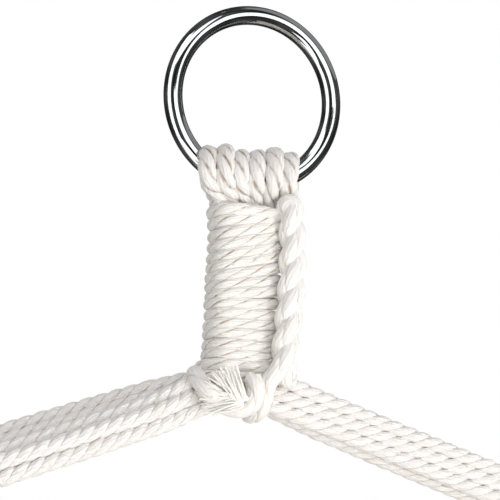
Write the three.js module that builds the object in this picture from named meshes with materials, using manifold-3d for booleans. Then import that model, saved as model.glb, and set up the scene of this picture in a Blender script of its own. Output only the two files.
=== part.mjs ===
// Hammock chair: a steel ring, six cotton cords through a whipped neck, a wooden bar and a canvas seat.
// Lengths are in millimetres. +Z is up, the sitter looks along -Y, and +X is the sitter's left hand.
// The origin is the top of the ring's inside, where the hook that carries the chair touches it.
import * as THREE from "three";
import { mergeVertices } from "three/addons/utils/BufferGeometryUtils.js";
import Module from "manifold-3d";

const wasm = await Module();
wasm.setup();

// Ring
const ring_inside_diameter = 60;
const ring_bar_diameter = 7.5;
const ring_steps = 44;
const ring_sides = 10;

// Suspension cords, listed from the outermost loop to the middle of the ring
const cords_per_side = 3;
const cord_diameter = 6;
const cord_sides = 6;
const loop_gap = 0.4;
const loop_slacks = [5.75, 4.95, 3.25];
const loop_steps = 8;
const piece_gap = 0.35;

// Neck: the legs stand in two rows of six, pressed narrow by the whipping
const neck_top_drop = 9.5;
const neck_leg_width_share = 0.5;
const neck_leg_depth_share = 0.9;
const neck_leg_gap = 0.52;
const neck_row_gap = 0.9;
const gather_steps = 4;

// Bundles that leave the neck's foot
const exit_drop = 71.6;
const exit_bend_radius = 7.4;
const level_gap = 0.7;
const exit_steps = 5;
const leg_steps = 5;
const slope_passes = 8;

// Whipping
const whipping_turns = 15.75;
const whipping_cord_diameter = 3.5;
const whipping_turn_gap = 0.53;
const whipping_side_gap = 0.7;
const whipping_face_gap = 0.85;
const whipping_corner_power = 4.4;
const whipping_flare = 3.3;
const whipping_flare_turns = 2;
const whipping_steps = 24;
const whipping_sides = 6;
const whipping_samples = 40;

// Locking cord beside the whipping. The points of its lists are x, y and the drop below the swing line.
const lock_cord_diameter = 4.8;
const lock_twist_offset = 2.7;
const lock_twist_pitch = 24;
const lock_top = [15.6, -12.3, 11.25];
const lock_foot = [10.4, -15.2, 74.25];
const lock_steps_per_turn = 10;
const lock_bight_rise = 3.8;
const lock_bight_steps = 4;
const lock_last_turn = [
  [14.8, -14.6, 77.85],
  [19, -9.8, 76.85],
  [20.6, -3.6, 73.65],
  [20.2, 3.8, 73.45],
  [15.6, 11.2, 76.25],
  [7, 12.9, 78.25],
  [-6, 12.9, 78.25],
  [-14.8, 11.2, 76.25],
  [-20.2, 4.6, 73.45],
  [-21, -3, 73.25],
  [-17.8, -9.8, 76.85],
  [-12, -12, 81.65],
  [-6.4, -12.2, 85.85],
  [-1.4, -12.2, 88.65],
];
const lock_last_turn_steps = 44;
const lock_front_foot = [
  [6.2, -13.4, 78.85],
  [5.4, -11.4, 83.25],
  [5.2, -10, 87.25],
  [4.4, -6.6, 90.65],
  [3, -1.6, 91.05],
];
const lock_front_foot_steps = 12;

// The frayed end as a plain flat fan. The yarns themselves are laid later.
const fray_reach = 17;
const fray_half_widths = [7, 10];
const fray_half_depths = [1.9, 0.95];
const fray_lean = 0.62;
const fray_forward_lean = 0.05;

// Spreader bar
const bar_length = 1010;
const bar_diameter = 32;
const bar_edge = 3;
const bar_drop = 310;
const bar_sides = 24;
const bar_hole_clearance = 0.55;
const bar_hole_sides = 12;
const hole_insets = [45, 69, 93];
const hole_bend_radius = 8;
const hole_bend_steps = 3;
const stopper_overlap = 0.9;
const stopper_half_height = 7;
const stopper_gap = 1;

// Seat cords over the bar's ends
const seat_cord_insets = [30, 22.4, 14.8];
const seat_cord_steps = 9;
const seat_leg_steps = 3;
const seat_turn_reach = 9;
const seat_turn_lift = 6.5;
const seat_turn_steps = 3;
const seat_stopper_drop = 8;
const seat_stopper_overlap = 2.2;
const seat_stopper_half_height = 5.6;

// Seat. Its middle line, its width and the rise of its sides are listed from the front edge to the top of
// the back. The line's shares are of the depth, from the front edge, and of the height, from the lowest place.
const seat_depth = 618;
const seat_height = 422;
const seat_width = 816;
const seat_side_height = 215;
const seat_drop = 802;
const seat_front_offset = 364;
const seat_line_shares = [
  [0, 0.156],
  [0.175, 0.066],
  [0.369, 0],
  [0.563, 0],
  [0.728, 0.123],
  [0.846, 0.346],
  [0.922, 0.597],
  [0.974, 0.844],
  [1, 1],
];
const seat_width_shares = [0.912, 0.897, 0.882, 0.882, 0.902, 0.931, 0.961, 0.985, 1];
const seat_rise_shares = [0.884, 0.953, 1, 1, 0.953, 0.86, 0.744, 0.628, 0.558];
const seat_side_power = 2.2;
const canvas_thickness = 2.4;
const canvas_steps_across = 14;
const canvas_steps_along = 16;

// Eyelets along the seat's side edges, as shares of the canvas from front to back and from middle to edge
const eyelet_along_shares = [0.03125, 0.21875, 0.40625, 0.59375, 0.78125, 0.96875];
const eyelet_across_share = 0.955;
const eyelet_hole_clearance = 1.2;
const eyelet_wall = 1.1;
const eyelet_flange_reach = 3.7;
const eyelet_canvas_gap = 0.8;
const eyelet_flange_thickness = 0.9;
const eyelet_sides = 10;

// Sizes that follow from those above
const ring_radius = (ring_inside_diameter + ring_bar_diameter) / 2;
const ring_centre_z = -ring_inside_diameter / 2;
const swing_z = ring_centre_z - ring_radius;
const cord_radius = cord_diameter / 2;
const loop_pitch = cord_diameter + loop_gap;
const loop_radii = loop_slacks.map((slack) => slack + ring_bar_diameter / 2 + cord_radius);
const neck_leg_half_width = cord_radius * neck_leg_width_share;
const neck_leg_half_depth = cord_radius * neck_leg_depth_share;
const neck_leg_pitch = 2 * neck_leg_half_width + neck_leg_gap;
const leg_row_offset = neck_leg_half_depth + neck_row_gap / 2;
const level_pitch = cord_diameter + level_gap;
const neck_top_z = swing_z - neck_top_drop;
const whipping_radius = whipping_cord_diameter / 2;
const whipping_pitch = whipping_cord_diameter + whipping_turn_gap;
const neck_half_width = (cords_per_side - 0.5) * neck_leg_pitch + neck_leg_half_width;
const whipping_half_width = neck_half_width + whipping_side_gap + whipping_radius;
const whipping_half_depth = leg_row_offset + neck_leg_half_depth + whipping_face_gap + whipping_radius;
const bar_z = -bar_drop;
const bar_radius = bar_diameter / 2;
const bar_hole_radius = leg_row_offset + cord_radius + bar_hole_clearance;
const hole_positions = hole_insets.map((inset) => bar_length / 2 - inset);
const stopper_half_width = bar_hole_radius + stopper_overlap;
const stopper_z = bar_z - bar_radius - stopper_half_height - stopper_gap;
const seat_cord_positions = seat_cord_insets.map((inset) => bar_length / 2 - inset);
const seat_loop_radius = bar_radius + piece_gap + cord_radius;
const seat_bottom_z = bar_z - seat_drop;
const eyelet_hole_radius = cord_radius + eyelet_hole_clearance;
const eyelet_barrel_radius = eyelet_hole_radius + eyelet_wall;
const eyelet_flange_radius = eyelet_barrel_radius + eyelet_flange_reach;
const seat_stopper_half_width = eyelet_hole_radius + seat_stopper_overlap;

// A closed solid from triangles given as corner numbers
function solid_geometry(points, triangles) {
  const geometry = new THREE.BufferGeometry();
  geometry.setAttribute(
    "position",
    new THREE.Float32BufferAttribute(points.flatMap((p) => [p.x, p.y, p.z]), 3),
  );
  geometry.setIndex(triangles);
  const apart = geometry.toNonIndexed();
  apart.computeVertexNormals();
  return apart;
}

// A closed tube along a list of points. Each half size is a number, or a pair of which the first lies along
// the reference direction. Both ends are closed with a flat cap.
function closed_tube(path, half_sizes, reference, sides) {
  const points = [];
  const triangles = [];
  path.forEach((centre, i) => {
    const before = path[Math.max(i - 1, 0)];
    const after = path[Math.min(i + 1, path.length - 1)];
    const along = after.clone().sub(before).normalize();
    const across = reference.clone().addScaledVector(along, -reference.dot(along)).normalize();
    const other = new THREE.Vector3().crossVectors(along, across);
    const size = half_sizes[i] ?? half_sizes;
    const [half_a, half_b] = Array.isArray(size) ? size : [size, size];
    for (let k = 0; k < sides; k++) {
      const angle = (2 * Math.PI * (k + 0.5)) / sides;
      points.push(
        centre
          .clone()
          .addScaledVector(across, half_a * Math.cos(angle))
          .addScaledVector(other, half_b * Math.sin(angle)),
      );
    }
  });
  for (let i = 0; i + 1 < path.length; i++) {
    for (let k = 0; k < sides; k++) {
      const next = (k + 1) % sides;
      const a = i * sides + k;
      const b = i * sides + next;
      triangles.push(a, b, b + sides, a, b + sides, a + sides);
    }
  }
  const last = (path.length - 1) * sides;
  for (let k = 1; k + 1 < sides; k++) {
    triangles.push(0, k + 1, k);
    triangles.push(last, last + k, last + k + 1);
  }
  return solid_geometry(points, triangles);
}

// A ball stretched along its own directions, for the knots
function knot_geometry(centre, half_width, half_height, direction) {
  const geometry = new THREE.IcosahedronGeometry(1, 1);
  geometry.scale(half_width, half_width, half_height);
  const turn = new THREE.Quaternion().setFromUnitVectors(along_z, direction);
  geometry.applyQuaternion(turn);
  geometry.translate(centre.x, centre.y, centre.z);
  return geometry;
}

function to_manifold(geometry) {
  const bare = geometry.clone();
  bare.deleteAttribute("normal");
  bare.deleteAttribute("uv");
  const merged = mergeVertices(bare, 1e-4);
  return new wasm.Manifold(
    new wasm.Mesh({
      numProp: 3,
      vertProperties: merged.attributes.position.array,
      triVerts: new Uint32Array(merged.index.array),
    }),
  );
}

function from_manifold(solid) {
  const mesh = solid.getMesh();
  const points = [];
  for (let i = 0; i < mesh.numVert; i++) {
    points.push(new THREE.Vector3().fromArray(mesh.vertProperties, i * mesh.numProp));
  }
  return solid_geometry(points, Array.from(mesh.triVerts));
}

function join(geometries) {
  return from_manifold(geometries.map(to_manifold).reduce((whole, more) => whole.add(more)));
}

function cut(geometry, tools) {
  const whole = to_manifold(geometry);
  return from_manifold(tools.map(to_manifold).reduce((rest, tool) => rest.subtract(tool), whole));
}

function eased(share) {
  return share * share * (3 - 2 * share);
}

const along_x = new THREE.Vector3(1, 0, 0);
const along_y = new THREE.Vector3(0, 1, 0);
const along_z = new THREE.Vector3(0, 0, 1);

function ring_geometry() {
  const geometry = new THREE.TorusGeometry(ring_radius, ring_bar_diameter / 2, ring_sides, ring_steps);
  geometry.rotateX(Math.PI / 2);
  geometry.translate(0, 0, ring_centre_z);
  return geometry;
}

// How many pitches a cord stands from the middle
function places_out(number) {
  return cords_per_side - 0.5 - number;
}

// One leg of a suspension cord from the side of its loop down to its stopper knot.
// Row is -1 in front and 1 behind.
function leg_route(number, side, row) {
  const loop_x = side * places_out(number) * loop_pitch;
  const neck_x = side * places_out(number) * neck_leg_pitch;
  const start = new THREE.Vector3(loop_x, row * loop_radii[number], swing_z);
  const gathered = new THREE.Vector3(neck_x, row * leg_row_offset, neck_top_z);
  const flat = [neck_leg_half_width, neck_leg_half_depth];
  const points = [];
  const sizes = [];
  for (let i = 1; i <= gather_steps; i++) {
    const share = i / gather_steps;
    const spot = start.clone().lerp(gathered, eased(share));
    spot.z = start.z + (gathered.z - start.z) * share;
    points.push(spot);
    sizes.push(flat.map((size) => cord_radius + (size - cord_radius) * eased(share)));
  }
  const exit_z = swing_z - exit_drop;
  const half_x = exit_bend_radius + number * neck_leg_pitch;
  const half_z = exit_bend_radius + number * level_pitch;
  const centre_x = Math.abs(gathered.x) + half_x;
  const hole_x = hole_positions[number];
  const bend_top_z = bar_z + bar_radius + piece_gap;
  // The straight run meets both bends without a kink
  let slope = 0;
  for (let pass = 0; pass < slope_passes; pass++) {
    const turn = Math.atan2(half_z, half_x * Math.tan(slope));
    const from_x = centre_x - half_x * Math.cos(turn);
    const from_z = exit_z - half_z * Math.sin(turn);
    const to_x = hole_x - hole_bend_radius * (1 - Math.sin(slope));
    const to_z = bend_top_z + hole_bend_radius * Math.cos(slope);
    slope = Math.atan2(from_z - to_z, to_x - from_x);
  }
  const exit_turn = Math.atan2(half_z, half_x * Math.tan(slope));
  for (let i = 0; i <= exit_steps; i++) {
    const turn = (exit_turn * i) / exit_steps;
    const x = centre_x - half_x * Math.cos(turn);
    points.push(new THREE.Vector3(side * x, row * leg_row_offset, exit_z - half_z * Math.sin(turn)));
    const share = eased(i / exit_steps);
    sizes.push(flat.map((size) => size + (cord_radius - size) * share));
  }
  const from = points[points.length - 1].clone();
  const full_turn = Math.PI / 2 - slope;
  const hole_turn = (angle) =>
    new THREE.Vector3(
      side * (hole_x - hole_bend_radius * (1 - Math.cos(angle))),
      row * leg_row_offset,
      bend_top_z + hole_bend_radius * Math.sin(angle),
    );
  for (let i = 1; i < leg_steps; i++) {
    points.push(from.clone().lerp(hole_turn(full_turn), i / leg_steps));
    sizes.push([cord_radius, cord_radius]);
  }
  for (let i = 0; i <= hole_bend_steps; i++) {
    points.push(hole_turn(full_turn * (1 - i / hole_bend_steps)));
    sizes.push([cord_radius, cord_radius]);
  }
  points.push(new THREE.Vector3(side * hole_x, row * leg_row_offset, stopper_z));
  sizes.push([cord_radius, cord_radius]);
  return { points, sizes };
}

// A whole suspension cord: both legs, the loop over the ring and the stopper knot that holds both ends
function suspension_geometry(number, side) {
  const front = leg_route(number, side, -1);
  const back = leg_route(number, side, 1);
  const points = front.points.slice().reverse();
  const sizes = front.sizes.slice().reverse();
  for (let i = 0; i <= loop_steps; i++) {
    const angle = (Math.PI * i) / loop_steps;
    const x = side * places_out(number) * loop_pitch;
    const y = -loop_radii[number] * Math.cos(angle);
    points.push(new THREE.Vector3(x, y, swing_z + loop_radii[number] * Math.sin(angle)));
    sizes.push([cord_radius, cord_radius]);
  }
  points.push(...back.points);
  sizes.push(...back.sizes);
  const knot_centre = new THREE.Vector3(side * hole_positions[number], 0, stopper_z);
  return join([
    closed_tube(points, sizes, along_x, cord_sides),
    knot_geometry(knot_centre, stopper_half_width, stopper_half_height, along_z),
  ]);
}

// A point of the whipping's path, on a rounded rectangle round the neck.
// Turns count from the top, at the right.
function whipping_point(turns) {
  const angle = 2 * Math.PI * turns;
  const c = Math.cos(angle);
  const s = Math.sin(angle);
  const flare_share = Math.max(0, (turns - whipping_turns + whipping_flare_turns) / whipping_flare_turns);
  const flare = whipping_flare * Math.min(flare_share, 1) ** 2;
  const power = 2 / whipping_corner_power;
  const x = (whipping_half_width + flare) * Math.sign(c) * Math.abs(c) ** power;
  const y = -whipping_half_depth * Math.sign(s) * Math.abs(s) ** power;
  const z = neck_top_z - whipping_radius - whipping_pitch * turns;
  return new THREE.Vector3(x, y, z);
}

function whipping_route() {
  const route = [];
  // Fine steps of angle, of which those at equal lengths are kept
  const fine_steps = whipping_steps * whipping_samples;
  const samples = [];
  for (let i = 0; i <= whipping_turns * fine_steps; i++) {
    samples.push(whipping_point(i / fine_steps));
  }
  const lengths = [0];
  for (let i = 1; i < samples.length; i++) {
    lengths.push(lengths[i - 1] + samples[i].distanceTo(samples[i - 1]));
  }
  const count = whipping_turns * whipping_steps;
  let at = 0;
  for (let i = 0; i <= count; i++) {
    const wanted = (lengths[lengths.length - 1] * i) / count;
    while (at + 1 < lengths.length && lengths[at + 1] < wanted) at++;
    route.push(samples[Math.min(at, samples.length - 1)].clone());
  }
  // Both ends run straight for one diameter of the cord
  const first = route[0].clone().sub(route[1]).normalize();
  const last = route[count].clone().sub(route[count - 1]).normalize();
  route.unshift(route[0].clone().addScaledVector(first, whipping_cord_diameter));
  route.push(route[route.length - 1].clone().addScaledVector(last, whipping_cord_diameter));
  return route;
}

// The least gap between parts of a cord that are further apart along it than a few diameters
function least_self_gap(route, diameter) {
  const along = [0];
  for (let i = 1; i < route.length; i++) {
    along.push(along[i - 1] + route[i].distanceTo(route[i - 1]));
  }
  const segment = new THREE.Line3();
  const nearest = new THREE.Vector3();
  let least = Infinity;
  for (let i = 0; i < route.length; i++) {
    for (let k = 0; k + 1 < route.length; k++) {
      if (Math.min(Math.abs(along[k] - along[i]), Math.abs(along[k + 1] - along[i])) < 4 * diameter) continue;
      segment.set(route[k], route[k + 1]);
      segment.closestPointToPoint(route[i], true, nearest);
      least = Math.min(least, nearest.distanceTo(route[i]) - diameter);
    }
  }
  return least;
}

function whipping_geometry() {
  const route = whipping_route();
  const gap = least_self_gap(route, whipping_cord_diameter);
  console.log("neck_whipping: least gap to itself " + gap.toFixed(2) + " mm");
  return closed_tube(route, whipping_radius, along_z, whipping_sides);
}

// A point of the locking cord's lists
function lock_point([x, y, drop]) {
  return new THREE.Vector3(x, y, swing_z - drop);
}

// The locking cord: its frayed end, the last turn over the left bundle and behind the neck, one leg up, the
// bight at the top, the other leg down and the foot at the front of the neck
function lock_route() {
  const top = lock_point(lock_top);
  const foot = lock_point(lock_foot);
  const turns = foot.distanceTo(top) / lock_twist_pitch;
  const steps = Math.round(turns * lock_steps_per_turn);
  const offset = (angle) =>
    new THREE.Vector3(lock_twist_offset * Math.cos(angle), -lock_twist_offset * Math.sin(angle), 0);
  // The angle counts up from the foot, where the two legs stand side by side
  const leg = (phase) => {
    const points = [];
    for (let i = 0; i <= steps; i++) {
      const share = i / steps;
      const angle = phase - 2 * Math.PI * turns * (1 - share);
      points.push(top.clone().lerp(foot, share).add(offset(angle)));
    }
    return points;
  };
  const bight = [];
  for (let i = 1; i < lock_bight_steps; i++) {
    const angle = (Math.PI * i) / lock_bight_steps;
    bight.push(
      top
        .clone()
        .addScaledVector(offset(-2 * Math.PI * turns), Math.cos(angle))
        .addScaledVector(along_z, lock_bight_rise * Math.sin(angle)),
    );
  }
  return { first: leg(0), second: leg(Math.PI), bight };
}

function smooth_route(corners, count) {
  const curve = new THREE.CatmullRomCurve3(corners, false, "centripetal");
  return curve.getSpacedPoints(count);
}

function fray_geometry() {
  const base = lock_point(lock_last_turn[lock_last_turn.length - 1]);
  const along = new THREE.Vector3(-Math.sin(fray_lean), -fray_forward_lean, Math.cos(fray_lean)).normalize();
  const tip = base.clone().addScaledVector(along, fray_reach);
  const middle = base.clone().lerp(tip, 0.5);
  middle.addScaledVector(along_y, -fray_half_depths[0]);
  tip.addScaledVector(along_y, -fray_half_depths[0]);
  const across = along_y.clone().cross(along).normalize();
  const radius = lock_cord_diameter / 2;
  return closed_tube(
    [base.clone().addScaledVector(along, -radius), base, middle, tip],
    [
      [radius, radius],
      [radius, radius],
      [fray_half_widths[0], fray_half_depths[0]],
      [fray_half_widths[1], fray_half_depths[1]],
    ],
    across,
    cord_sides,
  );
}

function lock_geometry() {
  const { first, second, bight } = lock_route();
  const last_turn = smooth_route([first.at(-1), ...lock_last_turn.map(lock_point)], lock_last_turn_steps);
  const foot = smooth_route([second.at(-1), ...lock_front_foot.map(lock_point)], lock_front_foot_steps);
  const route = [
    ...last_turn.slice(1).reverse(),
    ...first.slice().reverse(),
    ...bight,
    ...second,
    ...foot.slice(1),
  ];
  const gap = least_self_gap(route, lock_cord_diameter);
  console.log("locking_cord: least gap to itself " + gap.toFixed(2) + " mm");
  // A direction that no part of the route runs along
  const skew = along_x.clone().addScaledVector(along_y, 2.5).add(along_z).normalize();
  return join([closed_tube(route, lock_cord_diameter / 2, skew, cord_sides), fray_geometry()]);
}

function bar_geometry() {
  const half = bar_length / 2;
  const profile = [
    [0, -half],
    [bar_radius - bar_edge, -half],
    [bar_radius, -half + bar_edge],
    [bar_radius, half - bar_edge],
    [bar_radius - bar_edge, half],
    [0, half],
  ].map(([r, h]) => new THREE.Vector2(r, h));
  const rod = new THREE.LatheGeometry(profile, bar_sides);
  rod.rotateZ(-Math.PI / 2);
  rod.translate(0, 0, bar_z);
  const holes = [-1, 1].flatMap((side) =>
    hole_positions.map((x) => {
      const length = 2 * bar_diameter;
      const hole = new THREE.CylinderGeometry(bar_hole_radius, bar_hole_radius, length, bar_hole_sides);
      hole.rotateX(Math.PI / 2);
      hole.translate(side * x, 0, bar_z);
      return hole;
    }),
  );
  return cut(rod, holes);
}

// Seat surface: share across runs from -1 to 1 and share along from the front edge to the top of the back
const seat_curve = new THREE.CatmullRomCurve3(
  seat_line_shares.map(([depth_share, height_share]) => {
    const y = seat_depth * depth_share - seat_front_offset;
    return new THREE.Vector3(0, y, seat_bottom_z + seat_height * height_share);
  }),
  false,
  "centripetal",
);

function listed(values, share) {
  const place = Math.min(Math.max(share, 0), 1) * (values.length - 1);
  const low = Math.min(Math.floor(place), values.length - 2);
  return values[low] + (values[low + 1] - values[low]) * (place - low);
}

function seat_point(across, along) {
  const middle = seat_curve.getPointAt(Math.min(Math.max(along, 0), 1));
  const half_width = (seat_width / 2) * listed(seat_width_shares, along);
  const rise = seat_side_height * listed(seat_rise_shares, along) * Math.abs(across) ** seat_side_power;
  return new THREE.Vector3(across * half_width, middle.y, middle.z + rise);
}

// The upper face's normal
function seat_normal(across, along) {
  const step = 0.01;
  const over = seat_point(across + step, along).sub(seat_point(across - step, along));
  const low = Math.max(along - step, 0);
  const high = Math.min(along + step, 1);
  const onward = seat_point(across, high).sub(seat_point(across, low));
  return over.cross(onward).normalize();
}

function canvas_geometry() {
  const points = [];
  const triangles = [];
  const columns = canvas_steps_across + 1;
  const rows = canvas_steps_along + 1;
  for (const face of [1, -1]) {
    for (let j = 0; j < rows; j++) {
      for (let i = 0; i < columns; i++) {
        const across = (2 * i) / canvas_steps_across - 1;
        const along = j / canvas_steps_along;
        const shift = (face * canvas_thickness) / 2;
        points.push(seat_point(across, along).addScaledVector(seat_normal(across, along), shift));
      }
    }
  }
  const under = rows * columns;
  for (let j = 0; j + 1 < rows; j++) {
    for (let i = 0; i + 1 < columns; i++) {
      const a = j * columns + i;
      const b = a + 1;
      const c = a + columns;
      const d = c + 1;
      triangles.push(a, b, d, a, d, c);
      triangles.push(under + a, under + d, under + b, under + a, under + c, under + d);
    }
  }
  const rim = [];
  for (let i = 0; i + 1 < columns; i++) rim.push(i);
  for (let j = 0; j + 1 < rows; j++) rim.push(j * columns + columns - 1);
  for (let i = columns - 1; i > 0; i--) rim.push((rows - 1) * columns + i);
  for (let j = rows - 1; j > 0; j--) rim.push(j * columns);
  rim.forEach((a, k) => {
    const b = rim[(k + 1) % rim.length];
    triangles.push(a, under + b, b, a, under + a, under + b);
  });
  const holes = eyelet_places().map(({ centre, normal }) => {
    const radius = eyelet_barrel_radius + piece_gap;
    const hole = new THREE.CylinderGeometry(radius, radius, 6 * canvas_thickness, eyelet_sides);
    hole.applyQuaternion(new THREE.Quaternion().setFromUnitVectors(along_y, normal));
    hole.translate(centre.x, centre.y, centre.z);
    return hole;
  });
  return cut(solid_geometry(points, triangles), holes);
}

// Centre and upper normal of each eyelet, on the canvas as it is cut into flat faces
function eyelet_places() {
  const places = [];
  for (const side of [-1, 1]) {
    eyelet_along_shares.forEach((along, number) => {
      const across = side * eyelet_across_share;
      places.push({ side, number, along, ...flat_place(across, along) });
    });
  }
  return places;
}

// The canvas is made of flat cells, so a place on it is found in its cell and not on the smooth surface
function flat_place(across, along) {
  const i = Math.min(Math.floor(((across + 1) / 2) * canvas_steps_across), canvas_steps_across - 1);
  const j = Math.min(Math.floor(along * canvas_steps_along), canvas_steps_along - 1);
  const corner = (di, dj) =>
    seat_point((2 * (i + di)) / canvas_steps_across - 1, (j + dj) / canvas_steps_along);
  const s = ((across + 1) / 2) * canvas_steps_across - i;
  const t = along * canvas_steps_along - j;
  const low = corner(0, 0).lerp(corner(1, 0), s);
  const high = corner(0, 1).lerp(corner(1, 1), s);
  const over = corner(1, 0).sub(corner(0, 0)).add(corner(1, 1).sub(corner(0, 1)));
  const onward = corner(0, 1).sub(corner(0, 0)).add(corner(1, 1).sub(corner(1, 0)));
  return { centre: low.lerp(high, t), normal: over.cross(onward).normalize() };
}

function eyelet_geometry(place) {
  const inner = canvas_thickness / 2 + eyelet_canvas_gap;
  const outer = inner + eyelet_flange_thickness;
  const profile = [
    [eyelet_hole_radius, -outer],
    [eyelet_flange_radius, -outer],
    [eyelet_flange_radius, -inner],
    [eyelet_barrel_radius, -inner],
    [eyelet_barrel_radius, inner],
    [eyelet_flange_radius, inner],
    [eyelet_flange_radius, outer],
    [eyelet_hole_radius, outer],
    [eyelet_hole_radius, -outer],
  ].map(([r, h]) => new THREE.Vector2(r, h));
  const geometry = new THREE.LatheGeometry(profile, eyelet_sides);
  geometry.applyQuaternion(new THREE.Quaternion().setFromUnitVectors(along_y, place.normal));
  geometry.translate(place.centre.x, place.centre.y, place.centre.z);
  return geometry;
}

// One leg of a seat cord from the bar down to its eyelet. The angle is where it leaves the bar, from the top.
function seat_leg(bar_x, place, row) {
  const lifted = place.centre.clone().addScaledVector(place.normal, seat_turn_lift);
  const reach_y = row * lifted.y;
  const drop = bar_z - lifted.z;
  const distance = Math.hypot(reach_y, drop);
  const angle = Math.PI + Math.atan2(-reach_y, drop) - Math.acos(seat_loop_radius / distance);
  const leave_angle = Math.min(angle, Math.PI);
  const leave = new THREE.Vector3(
    bar_x,
    row * seat_loop_radius * Math.sin(leave_angle),
    bar_z + seat_loop_radius * Math.cos(leave_angle),
  );
  const toward = lifted.clone().sub(leave).normalize();
  const before_turn = lifted.clone().addScaledVector(toward, -seat_turn_reach);
  const points = [];
  for (let i = 1; i <= seat_leg_steps; i++) {
    points.push(leave.clone().lerp(before_turn, i / seat_leg_steps));
  }
  const entry_height = canvas_thickness / 2 + eyelet_canvas_gap + eyelet_flange_thickness + piece_gap;
  const entry = place.centre.clone().addScaledVector(place.normal, entry_height);
  const turn = new THREE.QuadraticBezierCurve3(before_turn, lifted, entry);
  for (let i = 1; i <= seat_turn_steps; i++) points.push(turn.getPoint(i / seat_turn_steps));
  points.push(place.centre.clone());
  const knot = place.centre.clone().addScaledVector(place.normal, -seat_stopper_drop);
  points.push(knot);
  return { points, leave_angle, knot, direction: place.normal };
}

function seat_cord_geometry(number, side, places) {
  const bar_x = side * seat_cord_positions[number];
  const of_side = places.filter((place) => place.side === side);
  const front = seat_leg(bar_x, of_side[cords_per_side - 1 - number], -1);
  const back = seat_leg(bar_x, of_side[cords_per_side + number], 1);
  const route = front.points.slice().reverse();
  const step = (front.leave_angle + back.leave_angle) / seat_cord_steps;
  const radius = seat_loop_radius / Math.cos(step / 2);
  for (let i = 0; i <= seat_cord_steps; i++) {
    const angle = i * step - front.leave_angle;
    route.push(new THREE.Vector3(bar_x, radius * Math.sin(angle), bar_z + radius * Math.cos(angle)));
  }
  route.push(...back.points);
  const knots = [front, back].map(({ knot, direction }) =>
    knot_geometry(knot, seat_stopper_half_width, seat_stopper_half_height, direction),
  );
  return join([closed_tube(route, cord_radius, along_x, cord_sides), ...knots]);
}

// Materials and the group
const steel = { color: 0xb8bbbe, roughness: 0.12, metalness: 1 };
const cotton = { color: 0xefeadf, roughness: 0.95, metalness: 0 };
const hardwood = { color: 0xb98a58, roughness: 0.55, metalness: 0 };
const canvas = { color: 0xe9e2d2, roughness: 0.95, metalness: 0 };
const brass = { color: 0xc6a25a, roughness: 0.35, metalness: 1 };

const chair = new THREE.Group();

function add(name, geometry, look) {
  const mesh = new THREE.Mesh(geometry, new THREE.MeshStandardMaterial(look));
  mesh.name = name;
  chair.add(mesh);
}

function side_name(side) {
  return side < 0 ? "left" : "right";
}

add("hanging_ring", ring_geometry(), steel);
add("neck_whipping", whipping_geometry(), cotton);
add("locking_cord", lock_geometry(), cotton);
add("spreader_bar", bar_geometry(), hardwood);
add("seat_canvas", canvas_geometry(), canvas);
const places = eyelet_places();
for (const side of [-1, 1]) {
  for (let number = 0; number < cords_per_side; number++) {
    add(`suspension_cord_${side_name(side)}_${number + 1}`, suspension_geometry(number, side), cotton);
    add(`seat_cord_${side_name(side)}_${number + 1}`, seat_cord_geometry(number, side, places), cotton);
  }
}
for (const place of places) {
  add(`eyelet_${side_name(place.side)}_${place.number + 1}`, eyelet_geometry(place), brass);
}

export default chair;
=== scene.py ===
# %% [markdown]
# # A hammock chair on its ring
#
# This lesson dresses a hammock chair whose plain solids were made before. A steel ring carries six cotton
# cords. A whipping binds them to a neck, and below it they spread to a wooden bar, which carries a canvas
# seat. The solids stay as they are. A finer piece in the same place stands for each of them, and rides on
# the body that its solid belongs to.

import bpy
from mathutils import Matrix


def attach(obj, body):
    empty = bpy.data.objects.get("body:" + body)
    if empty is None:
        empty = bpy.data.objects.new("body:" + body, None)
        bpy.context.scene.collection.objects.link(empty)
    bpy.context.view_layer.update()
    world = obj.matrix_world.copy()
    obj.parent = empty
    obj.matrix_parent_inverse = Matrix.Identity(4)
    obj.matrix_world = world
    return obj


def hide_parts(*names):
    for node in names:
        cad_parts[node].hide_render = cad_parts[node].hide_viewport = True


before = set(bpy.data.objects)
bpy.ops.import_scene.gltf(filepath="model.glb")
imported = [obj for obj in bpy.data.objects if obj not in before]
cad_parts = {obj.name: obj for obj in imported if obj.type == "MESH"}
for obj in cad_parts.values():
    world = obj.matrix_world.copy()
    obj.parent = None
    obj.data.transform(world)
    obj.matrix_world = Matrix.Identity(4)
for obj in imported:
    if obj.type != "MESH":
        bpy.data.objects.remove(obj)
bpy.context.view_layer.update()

# %% [markdown]
# Sizes are written in millimetres, as a workshop would, and turned into metres where a mesh is made. The
# axes are those of the solids: +Z up, the sitter looks along -Y, and the origin is where the hook touches
# the top of the ring's inside.

# %% Tools and units
import math

import bmesh
import bpy
import numpy as np
from mathutils import Matrix, Vector

MM = 0.001
X_AXIS, Y_AXIS, Z_AXIS = np.eye(3)


def unit(vectors):
    """Vectors, or one vector, brought to length one."""
    return vectors / np.linalg.norm(vectors, axis=-1, keepdims=True)


def eased(value, start=0.0, length=1.0):
    """0 up to start and 1 from start + length on, with a soft rise between."""
    share = np.clip((value - start) / length, 0, 1)
    return share * share * (3 - 2 * share)


def wander(count, reach, seed):
    """A smooth line of chance values between about -1 and 1, which changes over reach steps."""
    chance = np.random.default_rng(seed)
    knots = chance.uniform(-1, 1, count // reach + 4)
    place = np.arange(count) / reach
    low = place.astype(int)
    return knots[low] + (knots[low + 1] - knots[low]) * eased(place - low)


def full_turn(steps):
    """Equal angles of one turn, as a column."""
    return np.linspace(0, 2 * np.pi, steps + 1)[:-1, None]


def in_scene(name, data):
    """A new object in the scene."""
    thing = bpy.data.objects.new(name, data)
    bpy.context.scene.collection.objects.link(thing)
    return thing


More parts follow.
